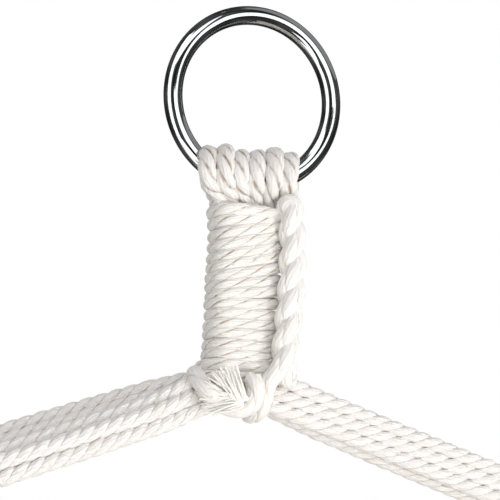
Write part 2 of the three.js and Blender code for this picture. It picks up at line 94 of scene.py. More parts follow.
def after_modifiers(piece):
    """The mesh of a piece as its modifiers make it."""
    return bpy.data.meshes.new_from_object(piece.evaluated_get(bpy.context.evaluated_depsgraph_get()))


def new_mesh(name, points, edges=(), faces=(), **attributes):
    """A mesh from points in millimetres. Attributes hold a number or a vector for each point."""
    mesh = bpy.data.meshes.new(name)
    mesh.from_pydata(np.asarray(points) * MM, edges, faces)
    for key, values in attributes.items():
        values = np.asarray(values, np.float32)
        kind, field = ("FLOAT_VECTOR", "vector") if values.ndim == 2 else ("FLOAT", "value")
        mesh.attributes.new(key, kind, "POINT").data.foreach_set(field, values.ravel())
    return mesh


# %% [markdown]
# ## Camera
#
# A long lens stands a metre off, on the sitter's right of the front and slightly below the neck. It keeps
# the ring's two sides almost equal in size, as a product photographer would. The frame is 197 mm wide at
# the neck and shows the ring, the neck and the start of both bundles.

# %% Camera
CAMERA_AZIMUTH, CAMERA_ELEVATION, CAMERA_ROLL = -21.6, -6.4, 1.5
LENS, SENSOR, FRAME_WIDTH = 180.0, 36.0, 196.9
CAMERA_TARGET = np.array([0.4, 0.0, -90.0])


def direction(azimuth, elevation):
    """The direction from the chair to a place seen at these angles. Azimuth 0 is the front, -Y."""
    a, e = math.radians(azimuth), math.radians(elevation)
    return np.array([math.sin(a) * math.cos(e), -math.cos(a) * math.cos(e), math.sin(e)])


def look_back(thing, target, away, distance, roll=0.0):
    """Put a camera or a lamp at a distance from its target, in metres, and turn it to the target."""
    place = Matrix.Translation(Vector(target + away * distance))
    turn = Vector(away).to_track_quat("Z", "Y").to_matrix().to_4x4()
    thing.matrix_world = place @ turn @ Matrix.Rotation(math.radians(roll), 4, "Z")


camera = in_scene("camera", bpy.data.cameras.new("camera"))
camera.data.lens, camera.data.sensor_width = LENS, SENSOR
camera.data.clip_start, camera.data.clip_end = 0.05, 60
camera_distance = FRAME_WIDTH * LENS / SENSOR
toward_camera = direction(CAMERA_AZIMUTH, CAMERA_ELEVATION)
look_back(camera, CAMERA_TARGET * MM, toward_camera, camera_distance * MM, CAMERA_ROLL)
bpy.context.scene.camera = camera
print("camera distance:", round(camera_distance), "mm")

# %% [markdown]
# ## Routes of the cords
#
# A cord is a path before it is a shape. Each suspension cord starts at its knot under the bar, comes up
# through the bar, runs to the neck, climbs it in the front row, passes over the ring and goes down again
# in the back row. These are the routes of the solids with more points, and with the slack that the
# solids leave out.

# %% Sizes of the harness
RING_INSIDE, RING_BAR = 60.0, 7.5
RING_RADIUS = (RING_INSIDE + RING_BAR) / 2
SWING_Z = -RING_INSIDE / 2 - RING_RADIUS
CORD_RADIUS = 3.0
LOOP_PITCH, LOOP_SKEW = 6.9, {-1: -5.3, 1: 4.0}
LOOP_RADII = {-1: (10.6, 11.8, 10.2), 1: (10.8, 12.2, 10.6)}
NECK_TOP_Z, NECK_PITCH, ROW_OFFSET = SWING_Z - 9.5, 3.52, 3.15
MOUTH_PITCH, MOUTH_RISE, MOUTH_DEPTH, MOUTH_REAR_SHIFT = 4.8, 1.5, 12.0, 1.2
NECK_LEAN, LEAN_DROP, LEAN_START, LEAN_FADE = (-1.2, -2.6), 60.0, 5.0, (20.0, 250.0)
EXIT_Z, EXIT_BEND, LEVEL_PITCH = SWING_Z - 69.4, 7.4, 5.7
BAR_Z, BAR_RADIUS, BAR_LENGTH = -310.0, 16.0, 1010.0
HOLE_X, HOLE_BEND, BEND_GAP = (460.0, 436.0, 412.0), 8.0, 0.35
KNOT_Z = BAR_Z - BAR_RADIUS - 8.0
# Half sizes of a pressed cord, across the chair and from front to back
LOOP_SIZE, MOUTH_SIZE, NECK_SIZE = np.array([(3.95, 2.9), (2.7, 2.9), (1.5, 2.7)])
LOOP_SLACK = 1.3
LOOP_STEPS, STRETCH_STEPS, EXIT_STEPS, BUNDLE_STEPS, HOLE_STEPS = 24, 12, 14, 40, 8

# %% [markdown]
# The loops lie a little skew on the ring, as rope does where it is free to turn. At the neck's mouth the
# legs are still wide, and the whipping presses them together below it. The whole neck hangs a few
# millimetres out of true, because the cords weren't cut to a ruler.

# %% One leg of a suspension cord
def leaned(points, share=1.0):
    """Points moved with the neck's lean. It dies away along the bundles."""
    points = np.array(points, float)
    drop = np.clip((NECK_TOP_Z - points[:, 2]) / LEAN_DROP, 0, 1)
    amount = eased(drop * LEAN_DROP, 0, LEAN_START) * (1 - eased(np.abs(points[:, 0]), *LEAN_FADE))
    points[:, 0] += share * (NECK_LEAN[0] + (NECK_LEAN[1] - NECK_LEAN[0]) * drop) * amount
    return points


def loop_side(number, side, row):
    """Where a loop ends and its front or back leg starts."""
    x = side * (2.5 - number) * LOOP_PITCH + LOOP_SKEW[row]
    return np.array([x, row * LOOP_RADII[side][number], SWING_Z])


def leg_route(number, side, row):
    """A leg's points and sizes, from beside its loop down to its knot. Row is -1 in front, 1 behind."""

    def in_row(x, z):
        return np.stack([side * x, np.full_like(x, row * ROW_OFFSET), z], axis=1)

    legs_in = 2.5 - number
    mouth_x = side * legs_in * MOUTH_PITCH + NECK_LEAN[0] + MOUTH_REAR_SHIFT * (row > 0)
    mouth = np.array([mouth_x, row * (ROW_OFFSET + 0.2), NECK_TOP_Z + MOUTH_RISE])
    neck = np.array([side * legs_in * NECK_PITCH, row * ROW_OFFSET, NECK_TOP_Z - MOUTH_DEPTH])
    points, sizes = [], []
    share = np.linspace(0, 1, STRETCH_STEPS + 1)[1:, None]
    start = loop_side(number, side, row)
    stretches = ((start, mouth, LOOP_SIZE, MOUTH_SIZE), (mouth, neck, MOUTH_SIZE, NECK_SIZE))
    for low, high, wide, narrow in stretches:
        spots = low + (high - low) * (0.7 * eased(share) + 0.3 * share)
        spots[:, 2:] = low[2] + (high[2] - low[2]) * share
        points.append(spots)
        sizes.append(wide + (narrow - wide) * eased(share))
    half_x, half_z = EXIT_BEND + number * NECK_PITCH, EXIT_BEND + number * LEVEL_PITCH
    centre_x, hole_x = legs_in * NECK_PITCH + half_x, HOLE_X[number]
    bend_z = BAR_Z + BAR_RADIUS + BEND_GAP
    slope = 0.0
    for _ in range(8):
        turn = math.atan2(half_z, half_x * math.tan(slope))
        rise = EXIT_Z - half_z * math.sin(turn) - bend_z - HOLE_BEND * math.cos(slope)
        run = hole_x - HOLE_BEND * (1 - math.sin(slope)) - centre_x + half_x * math.cos(turn)
        slope = math.atan2(rise, run)
    share = np.linspace(0, 1, EXIT_STEPS + 1)
    turns = math.atan2(half_z, half_x * math.tan(slope)) * share
    leaving = in_row(centre_x - half_x * np.cos(turns), EXIT_Z - half_z * np.sin(turns))
    sizes.append(NECK_SIZE + (CORD_RADIUS - NECK_SIZE) * eased(share)[:, None])
    turns = (math.pi / 2 - slope) * np.linspace(1, 0, HOLE_STEPS + 1)
    bend = in_row(hole_x - HOLE_BEND * (1 - np.cos(turns)), bend_z + HOLE_BEND * np.sin(turns))
    share = np.linspace(0, 1, BUNDLE_STEPS + 1)[1:-1, None]
    straight = leaving[-1] + (bend[0] - leaving[-1]) * share + bundle_shift(number, side, row, share)
    below = in_row(np.array([hole_x]), np.array([KNOT_Z]))
    points = np.vstack([*points, leaving, straight, bend, below])
    sizes = np.vstack(sizes)
    free = np.full((len(points) - len(sizes), 2), CORD_RADIUS)
    slack = np.where(np.arange(len(points)) < 2 * STRETCH_STEPS, LOOP_SLACK, 1.0)
    return points, np.column_stack([np.vstack([sizes, free]), slack])


# %% [markdown]
# Slack cords don't lie in ranks. On one side the rear cords ride up over the front ones just below the
# neck, and on the other side they hang about half a cord lower and the front ones lie close together. The
# shift grows out of the neck and is gone before the bar.

# %% How the bundles lie
# Side and row, then (shift along Y, shift upwards) for the outer, middle and inner cord
BUNDLE_LIE = {
    (-1, -1): ((1.4, -4.8), (-3.4, -2.5), (-3.4, -2.6)),
    (-1, 1): ((5.2, 1.6), (0.3, 4.1), (-3.9, 0.2)),
    (1, -1): ((0.0, -0.7), (0.0, 0.0), (0.0, 0.7)),
    (1, 1): ((-1.0, -2.6), (-1.0, -2.6), (-1.0, -1.8)),
}


def bundle_shift(number, side, row, share):
    """How far a leg lies beside its straight line, at a share of the way from the neck to the bar."""
    across, up = BUNDLE_LIE[side, row][number]
    grown = 0.75 * eased(share, 0, 0.05) + 0.25 * eased(share, 0, 0.16)
    return np.array([0.0, across, up]) * grown * (1 - eased(share, 0.3, 0.5))


def suspension_route(number, side):
    """The whole cord, from its front end to its back end, with its half sizes and its slack."""
    (front, front_sizes), (back, back_sizes) = (leg_route(number, side, row) for row in (-1, 1))
    start, end = (loop_side(number, side, row) for row in (-1, 1))
    angle = np.linspace(0, np.pi, LOOP_STEPS + 1)[:, None]
    lift = LOOP_RADII[side][number] * np.sin(angle) * Z_AXIS
    loop = start + (end - start) * (1 - np.cos(angle)) / 2 + lift
    sizes = np.vstack([front_sizes[::-1], np.tile((*LOOP_SIZE, LOOP_SLACK), (len(loop), 1)), back_sizes])
    return np.vstack([leaned(front[::-1]), loop, leaned(back)]), sizes


# %% [markdown]
# ## Laid cord from Geometry Nodes
#
# Cotton cord is laid: three strands lie round each other like a screw. A picture of it wrapped on a plain
# tube looks painted on, because a real strand stands out and hides the next one. So a node tree lays the
# strands as real tubes. It copies the path once for each strand, moves each copy out and round by an
# angle that grows along the path, and sweeps a small circle along it. The same tree lays every cord, the
# whipping and the knots, and with one strand it makes loose yarns.

# %% Helpers for node trees
class Term:
    """What a node gives out. Terms take part in sums like numbers, and each sum adds a node."""

    def __init__(self, socket):
        self.socket, self.tree = socket, socket.id_data
        self.is_vector = socket.type == "VECTOR"

    def __add__(self, other):
        return reckoned("ADD", self, other)

    def __sub__(self, other):
        return reckoned("SUBTRACT", self, other)

    def __rsub__(self, other):
        return reckoned("SUBTRACT", other, self)

    def __mul__(self, other):
        return reckoned("SCALE" if self.is_vector else "MULTIPLY", self, other)

    def __rtruediv__(self, other):
        return reckoned("DIVIDE", other, self)


def feed(node, inputs):
    """Give a node's inputs their values. A term is linked."""
    for name, value in inputs.items():
        if isinstance(value, Term):
            node.id_data.links.new(value.socket, node.inputs[name])
        else:
            node.inputs[name].default_value = value
    return node


def add_node(tree, kind, inputs=None, **settings):
    """A node with its settings and its inputs."""
    node = tree.nodes.new(kind)
    for name, value in settings.items():
        setattr(node, name, value)
    return feed(node, inputs or {})


def term(tree, kind, inputs=None, output=0, **settings):
    """One output of a new node."""
    return Term(add_node(tree, kind, inputs, **settings).outputs[output])


def reckoned(operation, *values):
    """One step of a sum, on vectors if the first term is a vector."""
    first = next(v for v in values if isinstance(v, Term))
    kind = "ShaderNodeVectorMath" if first.is_vector else "ShaderNodeMath"
    inputs = {0: values[0], "Scale": values[1]} if operation == "SCALE" else dict(enumerate(values))
    output = "Value" if operation == "DOT_PRODUCT" else 0
    return term(first.tree, kind, inputs, output, operation=operation)


def new_geometry_tree(name, *sockets):
    """An empty tree for a modifier, and its inputs as terms. A socket is a name, a kind and a value."""
    tree = bpy.data.node_groups.new(name, "GeometryNodeTree")
    tree.is_modifier = True
    for label, kind, *value in sockets:
        socket = tree.interface.new_socket(label, in_out="INPUT", socket_type="NodeSocket" + kind)
        if value:
            socket.default_value = value[0]
    tree.interface.new_socket("Geometry", in_out="OUTPUT", socket_type="NodeSocketGeometry")
    given = tree.nodes.new("NodeGroupInput").outputs
    return tree, {label: Term(given[label]) for label, *_ in sockets}


def changed(geometry, kind, **inputs):
    """The geometry after one more node."""
    return term(geometry.tree, "GeometryNode" + kind, {"Geometry": geometry, **inputs})


def read(tree, name, kind="FLOAT"):
    """A named attribute."""
    return term(tree, "GeometryNodeInputNamedAttribute", {"Name": name}, data_type=kind)


def store(geometry, name, value):
    """The geometry with one more named attribute on its points."""
    inputs = {"Geometry": geometry, "Name": name, "Value": value}
    kind = "FLOAT_VECTOR" if value.is_vector else "FLOAT"
    return term(geometry.tree, "GeometryNodeStoreNamedAttribute", inputs, data_type=kind)


def finished(geometry, material, scratch):
    """The tree's result: smooth, of one material and without the attributes that only the tree needs."""
    geometry = changed(geometry, "RealizeInstances")
    for name in scratch:
        geometry = changed(geometry, "RemoveAttribute", Name=name)
    made = changed(changed(geometry, "SetShadeSmooth"), "SetMaterial", Material=material)
    add_node(geometry.tree, "NodeGroupOutput", {0: made})
    return geometry.tree


# %% The tree that lays a cord
CORD_ATTRIBUTES = ("cord_centre", "strand_centre", "strand_radius", "around", "along")
PATH_ATTRIBUTES = ("across", "other", "half_a", "half_b", "turn")


def make_cord_tree():
    """Strands along a path. The path's points hold the frame, the half sizes and the twist.

    Spread widens every strand sideways, as tight strands press one another flat.
    """
    tree, given = new_geometry_tree(
        "laid_cord",
        ("Path", "Geometry"),
        ("Strands", "Int", 3),
        ("Strand share", "Float", 0.62),
        ("Centre share", "Float", 0.39),
        ("Spread", "Float", 1.0),
        ("Sides", "Int", 10),
        ("Seed", "Int", 1),
        ("Material", "Material"),
    )
    vector = "FLOAT_VECTOR"
    position = term(tree, "GeometryNodeInputPosition")
    along = term(tree, "GeometryNodeSplineParameter", output="Length")
    curve = term(tree, "GeometryNodeMeshToCurve", {"Mesh": given["Path"]})
    curve = store(store(curve, "cord_centre", position), "along", along)
    inputs = {"Geometry": curve, "Amount": given["Strands"]}
    copied = add_node(tree, "GeometryNodeDuplicateElements", inputs, domain="SPLINE")
    strands, number = map(Term, copied.outputs)
    angle = reckoned("MULTIPLY_ADD", number, 2 * math.pi / given["Strands"], read(tree, "turn"))
    offsets = []
    for axis, half, wave in (("across", "half_a", "COSINE"), ("other", "half_b", "SINE")):
        reach = read(tree, half) * given["Centre share"] * reckoned(wave, angle)
        offsets.append(read(tree, axis, vector) * reach)
    strands = changed(strands, "SetPosition", Offset=offsets[0] + offsets[1])
    strands = store(strands, "strand_centre", position)
    inputs = {"ID": number, "Seed": given["Seed"]}
    tone = term(tree, "FunctionNodeRandomValue", inputs, "Value", data_type="FLOAT")
    radius = reckoned("SQRT", read(tree, "half_a") * read(tree, "half_b")) * given["Strand share"]
    strands = store(store(strands, "tone", tone), "strand_radius", radius)
    circle = term(tree, "GeometryNodeCurvePrimitiveCircle", {"Resolution": given["Sides"], "Radius": 1.0})
    profile = store(circle, "around", position)
    inputs = {"Curve": strands, "Profile Curve": profile, "Scale": radius, "Fill Caps": True}
    mesh = term(tree, "GeometryNodeCurveToMesh", inputs)
    lift = term(tree, "ShaderNodeCombineXYZ", {"Z": read(tree, "along")})
    mesh = store(mesh, "fibre", read(tree, "around", vector) * read(tree, "strand_radius") + lift)
    centre = read(tree, "strand_centre", vector)
    out_of_cord = reckoned("NORMALIZE", centre - read(tree, "cord_centre", vector))
    from_centre = position - centre
    outward = reckoned("DOT_PRODUCT", out_of_cord, reckoned("NORMALIZE", from_centre))
    mesh = store(mesh, "outward", outward)
    rise = reckoned("DOT_PRODUCT", out_of_cord, from_centre)
    sideways = from_centre - out_of_cord * rise
    mesh = changed(mesh, "SetPosition", Offset=sideways * (given["Spread"] - 1.0))
    return finished(mesh, given["Material"], CORD_ATTRIBUTES + PATH_ATTRIBUTES)


cord_tree = make_cord_tree()
print("laid_cord:", len(cord_tree.nodes), "nodes")


# %% [markdown]
# A path goes into the tree as a string of points joined by edges. Each point carries a frame, two half
# sizes and the twist. The frame comes from a fixed direction that the route never takes. Where a route
# turns every way, the frame is carried along it without twisting.

# %% From route to path
def resampled(points, values, step):
    """The same route with points at equal steps, its values there, and the lengths up to them."""
    points = np.asarray(points, float)
    lengths = np.r_[0, np.cumsum(np.linalg.norm(np.diff(points, axis=0), axis=1))]
    wanted = np.linspace(0, lengths[-1], max(3, int(round(lengths[-1] / step)) + 1))
    columns = np.column_stack([points, values]).T
    new = np.column_stack([np.interp(wanted, lengths, column) for column in columns])
    return new[:, :3], new[:, 3:], wanted


def smoothed(points, passes):
    """The route with its corners eased. The ends stay."""
    points = points.copy()
    for _ in range(passes):
        points[1:-1] += 0.25 * (points[:-2] + points[2:] - 2 * points[1:-1])
    return points


def frames(points, reference=None):
    """Two directions across the path at each point."""
    along = unit(np.gradient(points, axis=0))
    if reference is not None:
        across = unit(reference - along * (along @ reference)[:, None])
        return across, np.cross(along, across)
    across = np.zeros_like(along)
    across[0] = unit(np.cross(along[0], Z_AXIS if abs(along[0][2]) < 0.8 else X_AXIS))
    for i in range(1, len(along)):
        carried = across[i - 1] - along[i] * (along[i] @ across[i - 1])
        across[i] = unit(carried)
    return across, np.cross(along, across)


def make_path(points, sizes, lay, step=1.2, reference=None, ease=3, phase=0.0):
    """Everything that the tree needs of one cord, in millimetres. A lay of 0 leaves the strands straight.

    Sizes are one half size, or two for each point. A third column lengthens the lay where the cord has
    come untwisted.
    """
    if np.isscalar(sizes):
        sizes = np.full((len(points), 2), sizes)
    points, sizes, lengths = resampled(points, sizes, step)
    points = smoothed(points, ease)
    across, other = frames(points, reference)
    turn = np.full(len(points), phase)
    if lay:
        slack = sizes[:, 2] if sizes.shape[1] > 2 else np.ones(len(points))
        turn = phase - 2 * np.pi * np.cumsum(np.gradient(lengths) / slack) / lay
    return {"points": points, "across": across, "other": other, "sizes": sizes, "turn": turn}


def laid(name, paths, material, **settings):
    """A mesh piece of cords laid along paths. Settings are named as the tree's inputs."""
    longest = max(np.linalg.norm(np.diff(p["points"], axis=0), axis=1).sum() for p in paths)
    print(f"{name}: longest path {longest * MM:.3f} m")
    ends = np.cumsum([len(p["points"]) for p in paths])
    edges = [(i, i + 1) for i in range(ends[-1] - 1) if i + 1 not in ends]
    keys = ("points", "across", "other", "turn")
    joined = {key: np.concatenate([p[key] for p in paths]) for key in keys}
    sizes = np.concatenate([p["sizes"][:, :2] for p in paths]) * MM
    mesh = new_mesh(name, joined.pop("points"), edges, half_a=sizes[:, 0], half_b=sizes[:, 1], **joined)
    return through_tree(name, mesh, cord_tree, Material=material, **settings)


def through_tree(name, mesh, tree, **settings):
    """The mesh as a node tree remakes it, as a plain piece. Settings are named as the tree's inputs."""
    source = in_scene(name + "_source", mesh)
    modifier = source.modifiers.new("nodes", "NODES")
    modifier.node_group = tree
    sockets = {s.name: s.identifier for s in tree.interface.items_tree if s.in_out == "INPUT"}
    for label, value in settings.items():
        modifier[sockets[label.replace("_", " ")]] = value
    made = after_modifiers(source)
    made.name = name
    bpy.data.objects.remove(source)
    return in_scene(name, made)


# %% Put a piece on its body
def belongs(piece, body, slot, *nodes):
    """The piece rides on a body and stands for its solids. Its slot is not used."""
    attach(piece, body)
    if nodes:
        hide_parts(*nodes)
    piece.data.calc_loop_triangles()
    print(f"{piece.name}: {len(piece.data.loop_triangles)} triangles on {body}")


# %% [markdown]
# ## Cotton
#
# Undyed cotton is off-white, and looks tan where strands meet, because the light that gets in there has
# bounced between fibres. That shade is painted into the colour as a tan, stronger in some patches than in
# others. The tree stored how far each point looks out of its cord, so the shader knows the hollows. Fibres
# run along a strand: noise stretched along the strand's own coordinate gives their streaks, and stripes
# that wind round it are its yarns, painted a little darker in the grooves between them as painted shade.
# Both give relief too. A little sheen stands for the fuzz. The wraps get a lighter and narrower painted
# crease shade than the long cords, and the loose yarns almost none.

# %% Cotton material
def new_material(name):
    """A material ready for nodes, and its tree."""
    material = bpy.data.materials.new(name)
    material.use_nodes = True
    return material, material.node_tree


def own_place(tree):
    """Where a point lies in the piece's own frame."""
    return term(tree, "ShaderNodeTexCoord", output="Object")


def stored(tree, name, output="Fac"):
    """An attribute of the mesh, as a number or as a vector."""
    return term(tree, "ShaderNodeAttribute", output=output, attribute_name=name)


def noise(place, scale, detail=2.0, roughness=0.5):
    """A noise field with values from 0 to 1."""
    inputs = {"Vector": place, "Scale": scale, "Detail": detail, "Roughness": roughness}
    return term(place.tree, "ShaderNodeTexNoise", inputs)


def stretched(place, *scale):
    """A coordinate with its own scale along each axis."""
    return term(place.tree, "ShaderNodeMapping", {"Vector": place, "Scale": scale})


def mixed(factor, a, b, blend="MIX"):
    """Two colours mixed. A colour is a term or three numbers."""
    a, b = (colour if isinstance(colour, Term) else (*colour, 1) for colour in (a, b))
    inputs = {0: factor, 6: a, 7: b}
    return term(factor.tree, "ShaderNodeMix", inputs, 2, data_type="RGBA", blend_type=blend)


def ranged(value, low, high, to_low=0.0, to_high=1.0):
    """A value brought from one range to another, with soft ends."""
    inputs = dict(enumerate((value, low, high, to_low, to_high)))
    return term(value.tree, "ShaderNodeMapRange", inputs, interpolation_type="SMOOTHSTEP")


def bump(height, distance, strength=1.0):
    """Relief of a given depth in metres."""
    inputs = {"Height": height, "Distance": distance, "Strength": strength}
    return term(height.tree, "ShaderNodeBump", inputs)


def shaded(material, **inputs):
    """The material with its shader's inputs given. They are named as the shader names them."""
    shader = material.node_tree.nodes["Principled BSDF"]
    feed(shader, {name.replace("_", " "): value for name, value in inputs.items()})
    return material


YARN_RATE = -120.0
AGED, YARN_SHADE, PATCH_SHADE = (0.96, 0.95, 0.93), (0.86, 0.82, 0.76), (0.95, 0.93, 0.90)


def make_cotton(name, light, crease_shade_colour, crease_reach, faintest_crease_shade, yarns=9, relief_height=0.0002):
    """Cotton whose yarns run along the strands, with painted shade in the creases between strands."""
    material, tree = new_material(name)
    fibre, outward, tone = stored(tree, "fibre", "Vector"), stored(tree, "outward"), stored(tree, "tone")
    place = own_place(tree)
    hairs = noise(stretched(fibre, 4200, 4200, 700), 1.0, 3.0, 0.6)
    lumps = noise(place, 420.0)
    x, y, along = map(Term, add_node(tree, "ShaderNodeSeparateXYZ", {0: fibre}).outputs)
    phase = reckoned("ARCTAN2", y, x) * yarns + along * (YARN_RATE * yarns) + lumps * 9.0
    stripes = reckoned("SINE", phase) * 0.5
    # Painted shade: a tan mixed in where the surface looks into the creases between strands, stronger in
    # some patches than in others.
    uneven_crease_shade = ranged(noise(place, 230.0), 0.38, 0.62, faintest_crease_shade, 0.95)
    crease = ranged(outward, -0.05, crease_reach, 1.0, 0.0) * uneven_crease_shade
    crease = reckoned("MAXIMUM", crease, ranged(hairs, 0.3, 0.7, 0.14, 0.0))
    colour = mixed(crease, light, crease_shade_colour)
    # Painted shade: the stripes' low parts, the grooves between yarns, are darkened by the yarn shade
    # colour.
    colour = mixed(ranged(stripes, -0.5, 0.1, 0.18, 0.0), colour, YARN_SHADE, "MULTIPLY")
    patches = ranged(noise(place, 70.0), 0.35, 0.7, 0.0, 0.3)
    colour = mixed(patches, colour, PATCH_SHADE, "MULTIPLY")
    colour = mixed(ranged(tone, 0, 1, 0.0, 0.4), colour, AGED, "MULTIPLY")
    relief = reckoned("MULTIPLY_ADD", stripes, 0.9, hairs * 0.9) + lumps * 0.8
    return shaded(
        material,
        Base_Color=colour,
        Normal=bump(relief, relief_height),
        Roughness=ranged(hairs, 0.2, 0.8, 0.85, 1.0),
        Specular_IOR_Level=0.15,
        Sheen_Weight=0.1,
        Sheen_Roughness=0.5,
    )


cotton = make_cotton("cotton_cord", (0.90, 0.88, 0.865), (0.36, 0.28, 0.21), 0.54, 0.4)
wrap_cotton = make_cotton("cotton_wrap", (0.93, 0.912, 0.895), (0.56, 0.46, 0.36), 0.3, 0.12)
yarn_cotton = make_cotton("cotton_yarn", (0.95, 0.94, 0.92), (0.93, 0.91, 0.87), 0.24, 0.12, 2, 0.00005)
print("cotton materials made")

# %% [markdown]
# ## The six suspension cords
#
# Each cord is one piece: both legs and the loop over the ring. Its size follows the solid, round where it
# is free and pressed flat in the neck. It is drawn a touch fuller than the solid, because real cords
# touch each other and solids may not.

# %% Suspension cords
CORD_LAY, CORD_FULLNESS = 18.6, 1.09
KNOT_CORD = 2.45
STOPPER_RADIUS, STOPPER_PITCH, STOPPER_TURNS, STOPPER_LAY = 4.7, 5.2, 2.6, 16.0
side_names = {-1: "left", 1: "right"}


def stopper_knot(x):
    """The knot under the bar: one end wound round both legs, and two short tails."""
    turns = np.linspace(0, STOPPER_TURNS, 44)[:, None]
    angle = 2 * np.pi * turns
    z = BAR_Z - BAR_RADIUS - KNOT_CORD - 0.4 - STOPPER_PITCH * turns
    routes = [np.hstack([x + STOPPER_RADIUS * np.cos(angle), STOPPER_RADIUS * np.sin(angle), z])]
    for row in (-1, 1):
        shape = ((0, 2.6, 0), (1, 2.6, -8), (3, 3.2, -18))
        routes.append([(x + row * dx, row * dy, KNOT_Z + dz) for dx, dy, dz in shape])
    return [make_path(route, KNOT_CORD, STOPPER_LAY, ease=2) for route in routes]


for side, side_name in side_names.items():
    for number in range(3):
        points, sizes = suspension_route(number, side)
        swell = 1 + 0.025 * wander(len(points), reach=9, seed=11 + number + 5 * side)
        sizes[:, :2] *= CORD_FULLNESS * swell[:, None]
        paths = [make_path(points, sizes, CORD_LAY, reference=X_AXIS, phase=1.3 * number + side)]
        paths += stopper_knot(side * HOLE_X[number])
        cord = laid(f"cord_{side_name}_{number + 1}", paths, cotton, Seed=number + 7)
        belongs(cord, "harness", "cotton_cord", f"suspension_cord_{side_name}_{number + 1}")

# %% [markdown]
# ## The whipping
#
# A thinner cord is wound tightly round the neck. Its turns are a helix on a rounded rectangle, because
# the legs inside stand in two rows of six. Both ends are tucked in, and the first turn comes up from under
# the loops and laps over its own start. The upper turns climb to the right and the lower ones lie nearly
# level. A hand wound them, so each one wanders a little.

# %% Whipping
WHIP_TURNS, WHIP_PITCH, WHIP_HALF, WHIP_POWER = 15.75, 4.03, (12.75, 8.45), 4.4
WHIP_TUCKED = (0.7, 0.75)
WHIP_SIZES, WHIP_LAY = (2.5, 2.05), 25.0
WHIP_TOP_DROP, WHIP_TOP_RAISE, WHIP_TOP_SPREAD = 1.75, 1.5, 1.1
WHIP_FLARE, WHIP_FLARE_TURNS = 3.3, 2.0
WHIP_CLIMB, WHIP_FALL, WHIP_SINK, WHIP_LAP = 0.31, 0.08, 4.5, 1.2
TIGHT_LAY = {"Strand_share": 0.5, "Centre_share": 0.5, "Spread": 1.5}


def whipping_points(turns):
    """Points of the winding. Turns count from the top, at the right."""
    angle, count = 2 * np.pi * turns, len(turns)
    waves = np.cos(angle), np.sin(angle)
    round_x, round_y = (np.sign(wave) * np.abs(wave) ** (2 / WHIP_POWER) for wave in waves)
    loose = 0.25 * wander(count, reach=170, seed=3)
    foot = np.clip((turns - WHIP_TURNS + WHIP_FLARE_TURNS) / WHIP_FLARE_TURNS, 0, 1)
    wide = WHIP_FLARE * foot**2 + WHIP_TOP_SPREAD * (1 - eased(turns, 0.3, 1.2))
    x = (WHIP_HALF[0] + wide + loose) * round_x
    sunk = WHIP_SINK * (1 - eased(turns, -WHIP_TUCKED[0], 0.3))
    over = WHIP_LAP * eased(x, 0, 12) * eased(turns, -0.2, 0.3) * (1 - eased(turns, 0.4, 0.3))
    y = -(WHIP_HALF[1] + loose + over - sunk) * round_y
    steep = WHIP_CLIMB * (1 - np.exp(-np.maximum(turns - 0.3, 0) / 2.4)) * (1 - eased(turns, 3.0, 9.0))
    steep += 0.05 * wander(count, reach=330, seed=14) - WHIP_FALL
    raised = WHIP_TOP_RAISE * eased(turns, 0.4, 0.8) * (1 - eased(turns, 0, WHIP_TURNS))
    z = NECK_TOP_Z - WHIP_TOP_DROP - WHIP_PITCH * turns + raised + steep * x
    return np.stack([x, y, z + 0.3 * wander(count, reach=110, seed=8)], axis=1)


turns = np.linspace(-WHIP_TUCKED[0], WHIP_TURNS + WHIP_TUCKED[1], 6000)
swell = 1 + 0.05 * wander(len(turns), reach=60, seed=17)
sizes = np.array(WHIP_SIZES) * (swell * (1 + 0.13 * (1 - eased(turns, 1.5, 3.0))))[:, None]
path = make_path(leaned(whipping_points(turns)), sizes, WHIP_LAY, 1.0, reference=Z_AXIS, ease=6)
whipping = laid("whipping", [path], wrap_cotton, **TIGHT_LAY, Seed=3)
belongs(whipping, "harness", "cotton_cord", "neck_whipping")

# %% [markdown]
# ## The locking cord
#
# Two legs of one cord twist round each other down the right of the neck's front and lock the ends of the
# turns. At the top they join in a bight. At the foot one leg goes round the back, over the left bundle and
# to the front, where it ends frayed, and the other leg goes in under the front of the neck.

# %% Locking cord
LOCK_SIZE, LOCK_OFFSET, LOCK_PITCH, LOCK_LAY = 3.6, 2.2, 22.0, 30.0
LOCK_BULGE, LOCK_BIGHT, LOCK_LEAN = 2.8, 2.8, 0.7
LOCK_TOP, LOCK_FOOT = (11.8, -12.2, 10.2), (11.7, -14.2, 74.25)
LOCK_LAST_TURN = (
    *((12.6, -14.0, 77.2), (15.6, -10.6, 77.0), (17.0, -4, 75.6), (16.8, 3.8, 75.4), (14, 10.6, 76.6)),
    *((7, 12.9, 78.25), (-6, 12.9, 78.25), (-13.6, 10.8, 77.0), (-17.4, 4.6, 76.0), (-20.0, -3, 76.8)),
    *((-20.0, -9.2, 80.6), (-17.8, -13.0, 85.0), (-13.0, -13.6, 88.0), (-7.4, -12.8, 89.6)),
    *((-2.8, -13.6, 89.4), (-0.6, -15.8, 85.8), (-0.2, -16.2, 81.6), (-0.8, -13.4, 77.6)),
)
LOCK_FRONT_FOOT = ((6.2, -13.4, 78.85), (5.4, -11.4, 83.25), (5.2, -10, 87.25), (4.4, -6.6, 90.65))
LOCK_FRONT_FOOT += ((3, -1.6, 91.05),)
SPLINE_SPANS = (((0, 1), (1, 2), (2, 3)), ((0, 2), (1, 3)), ((1, 2),))


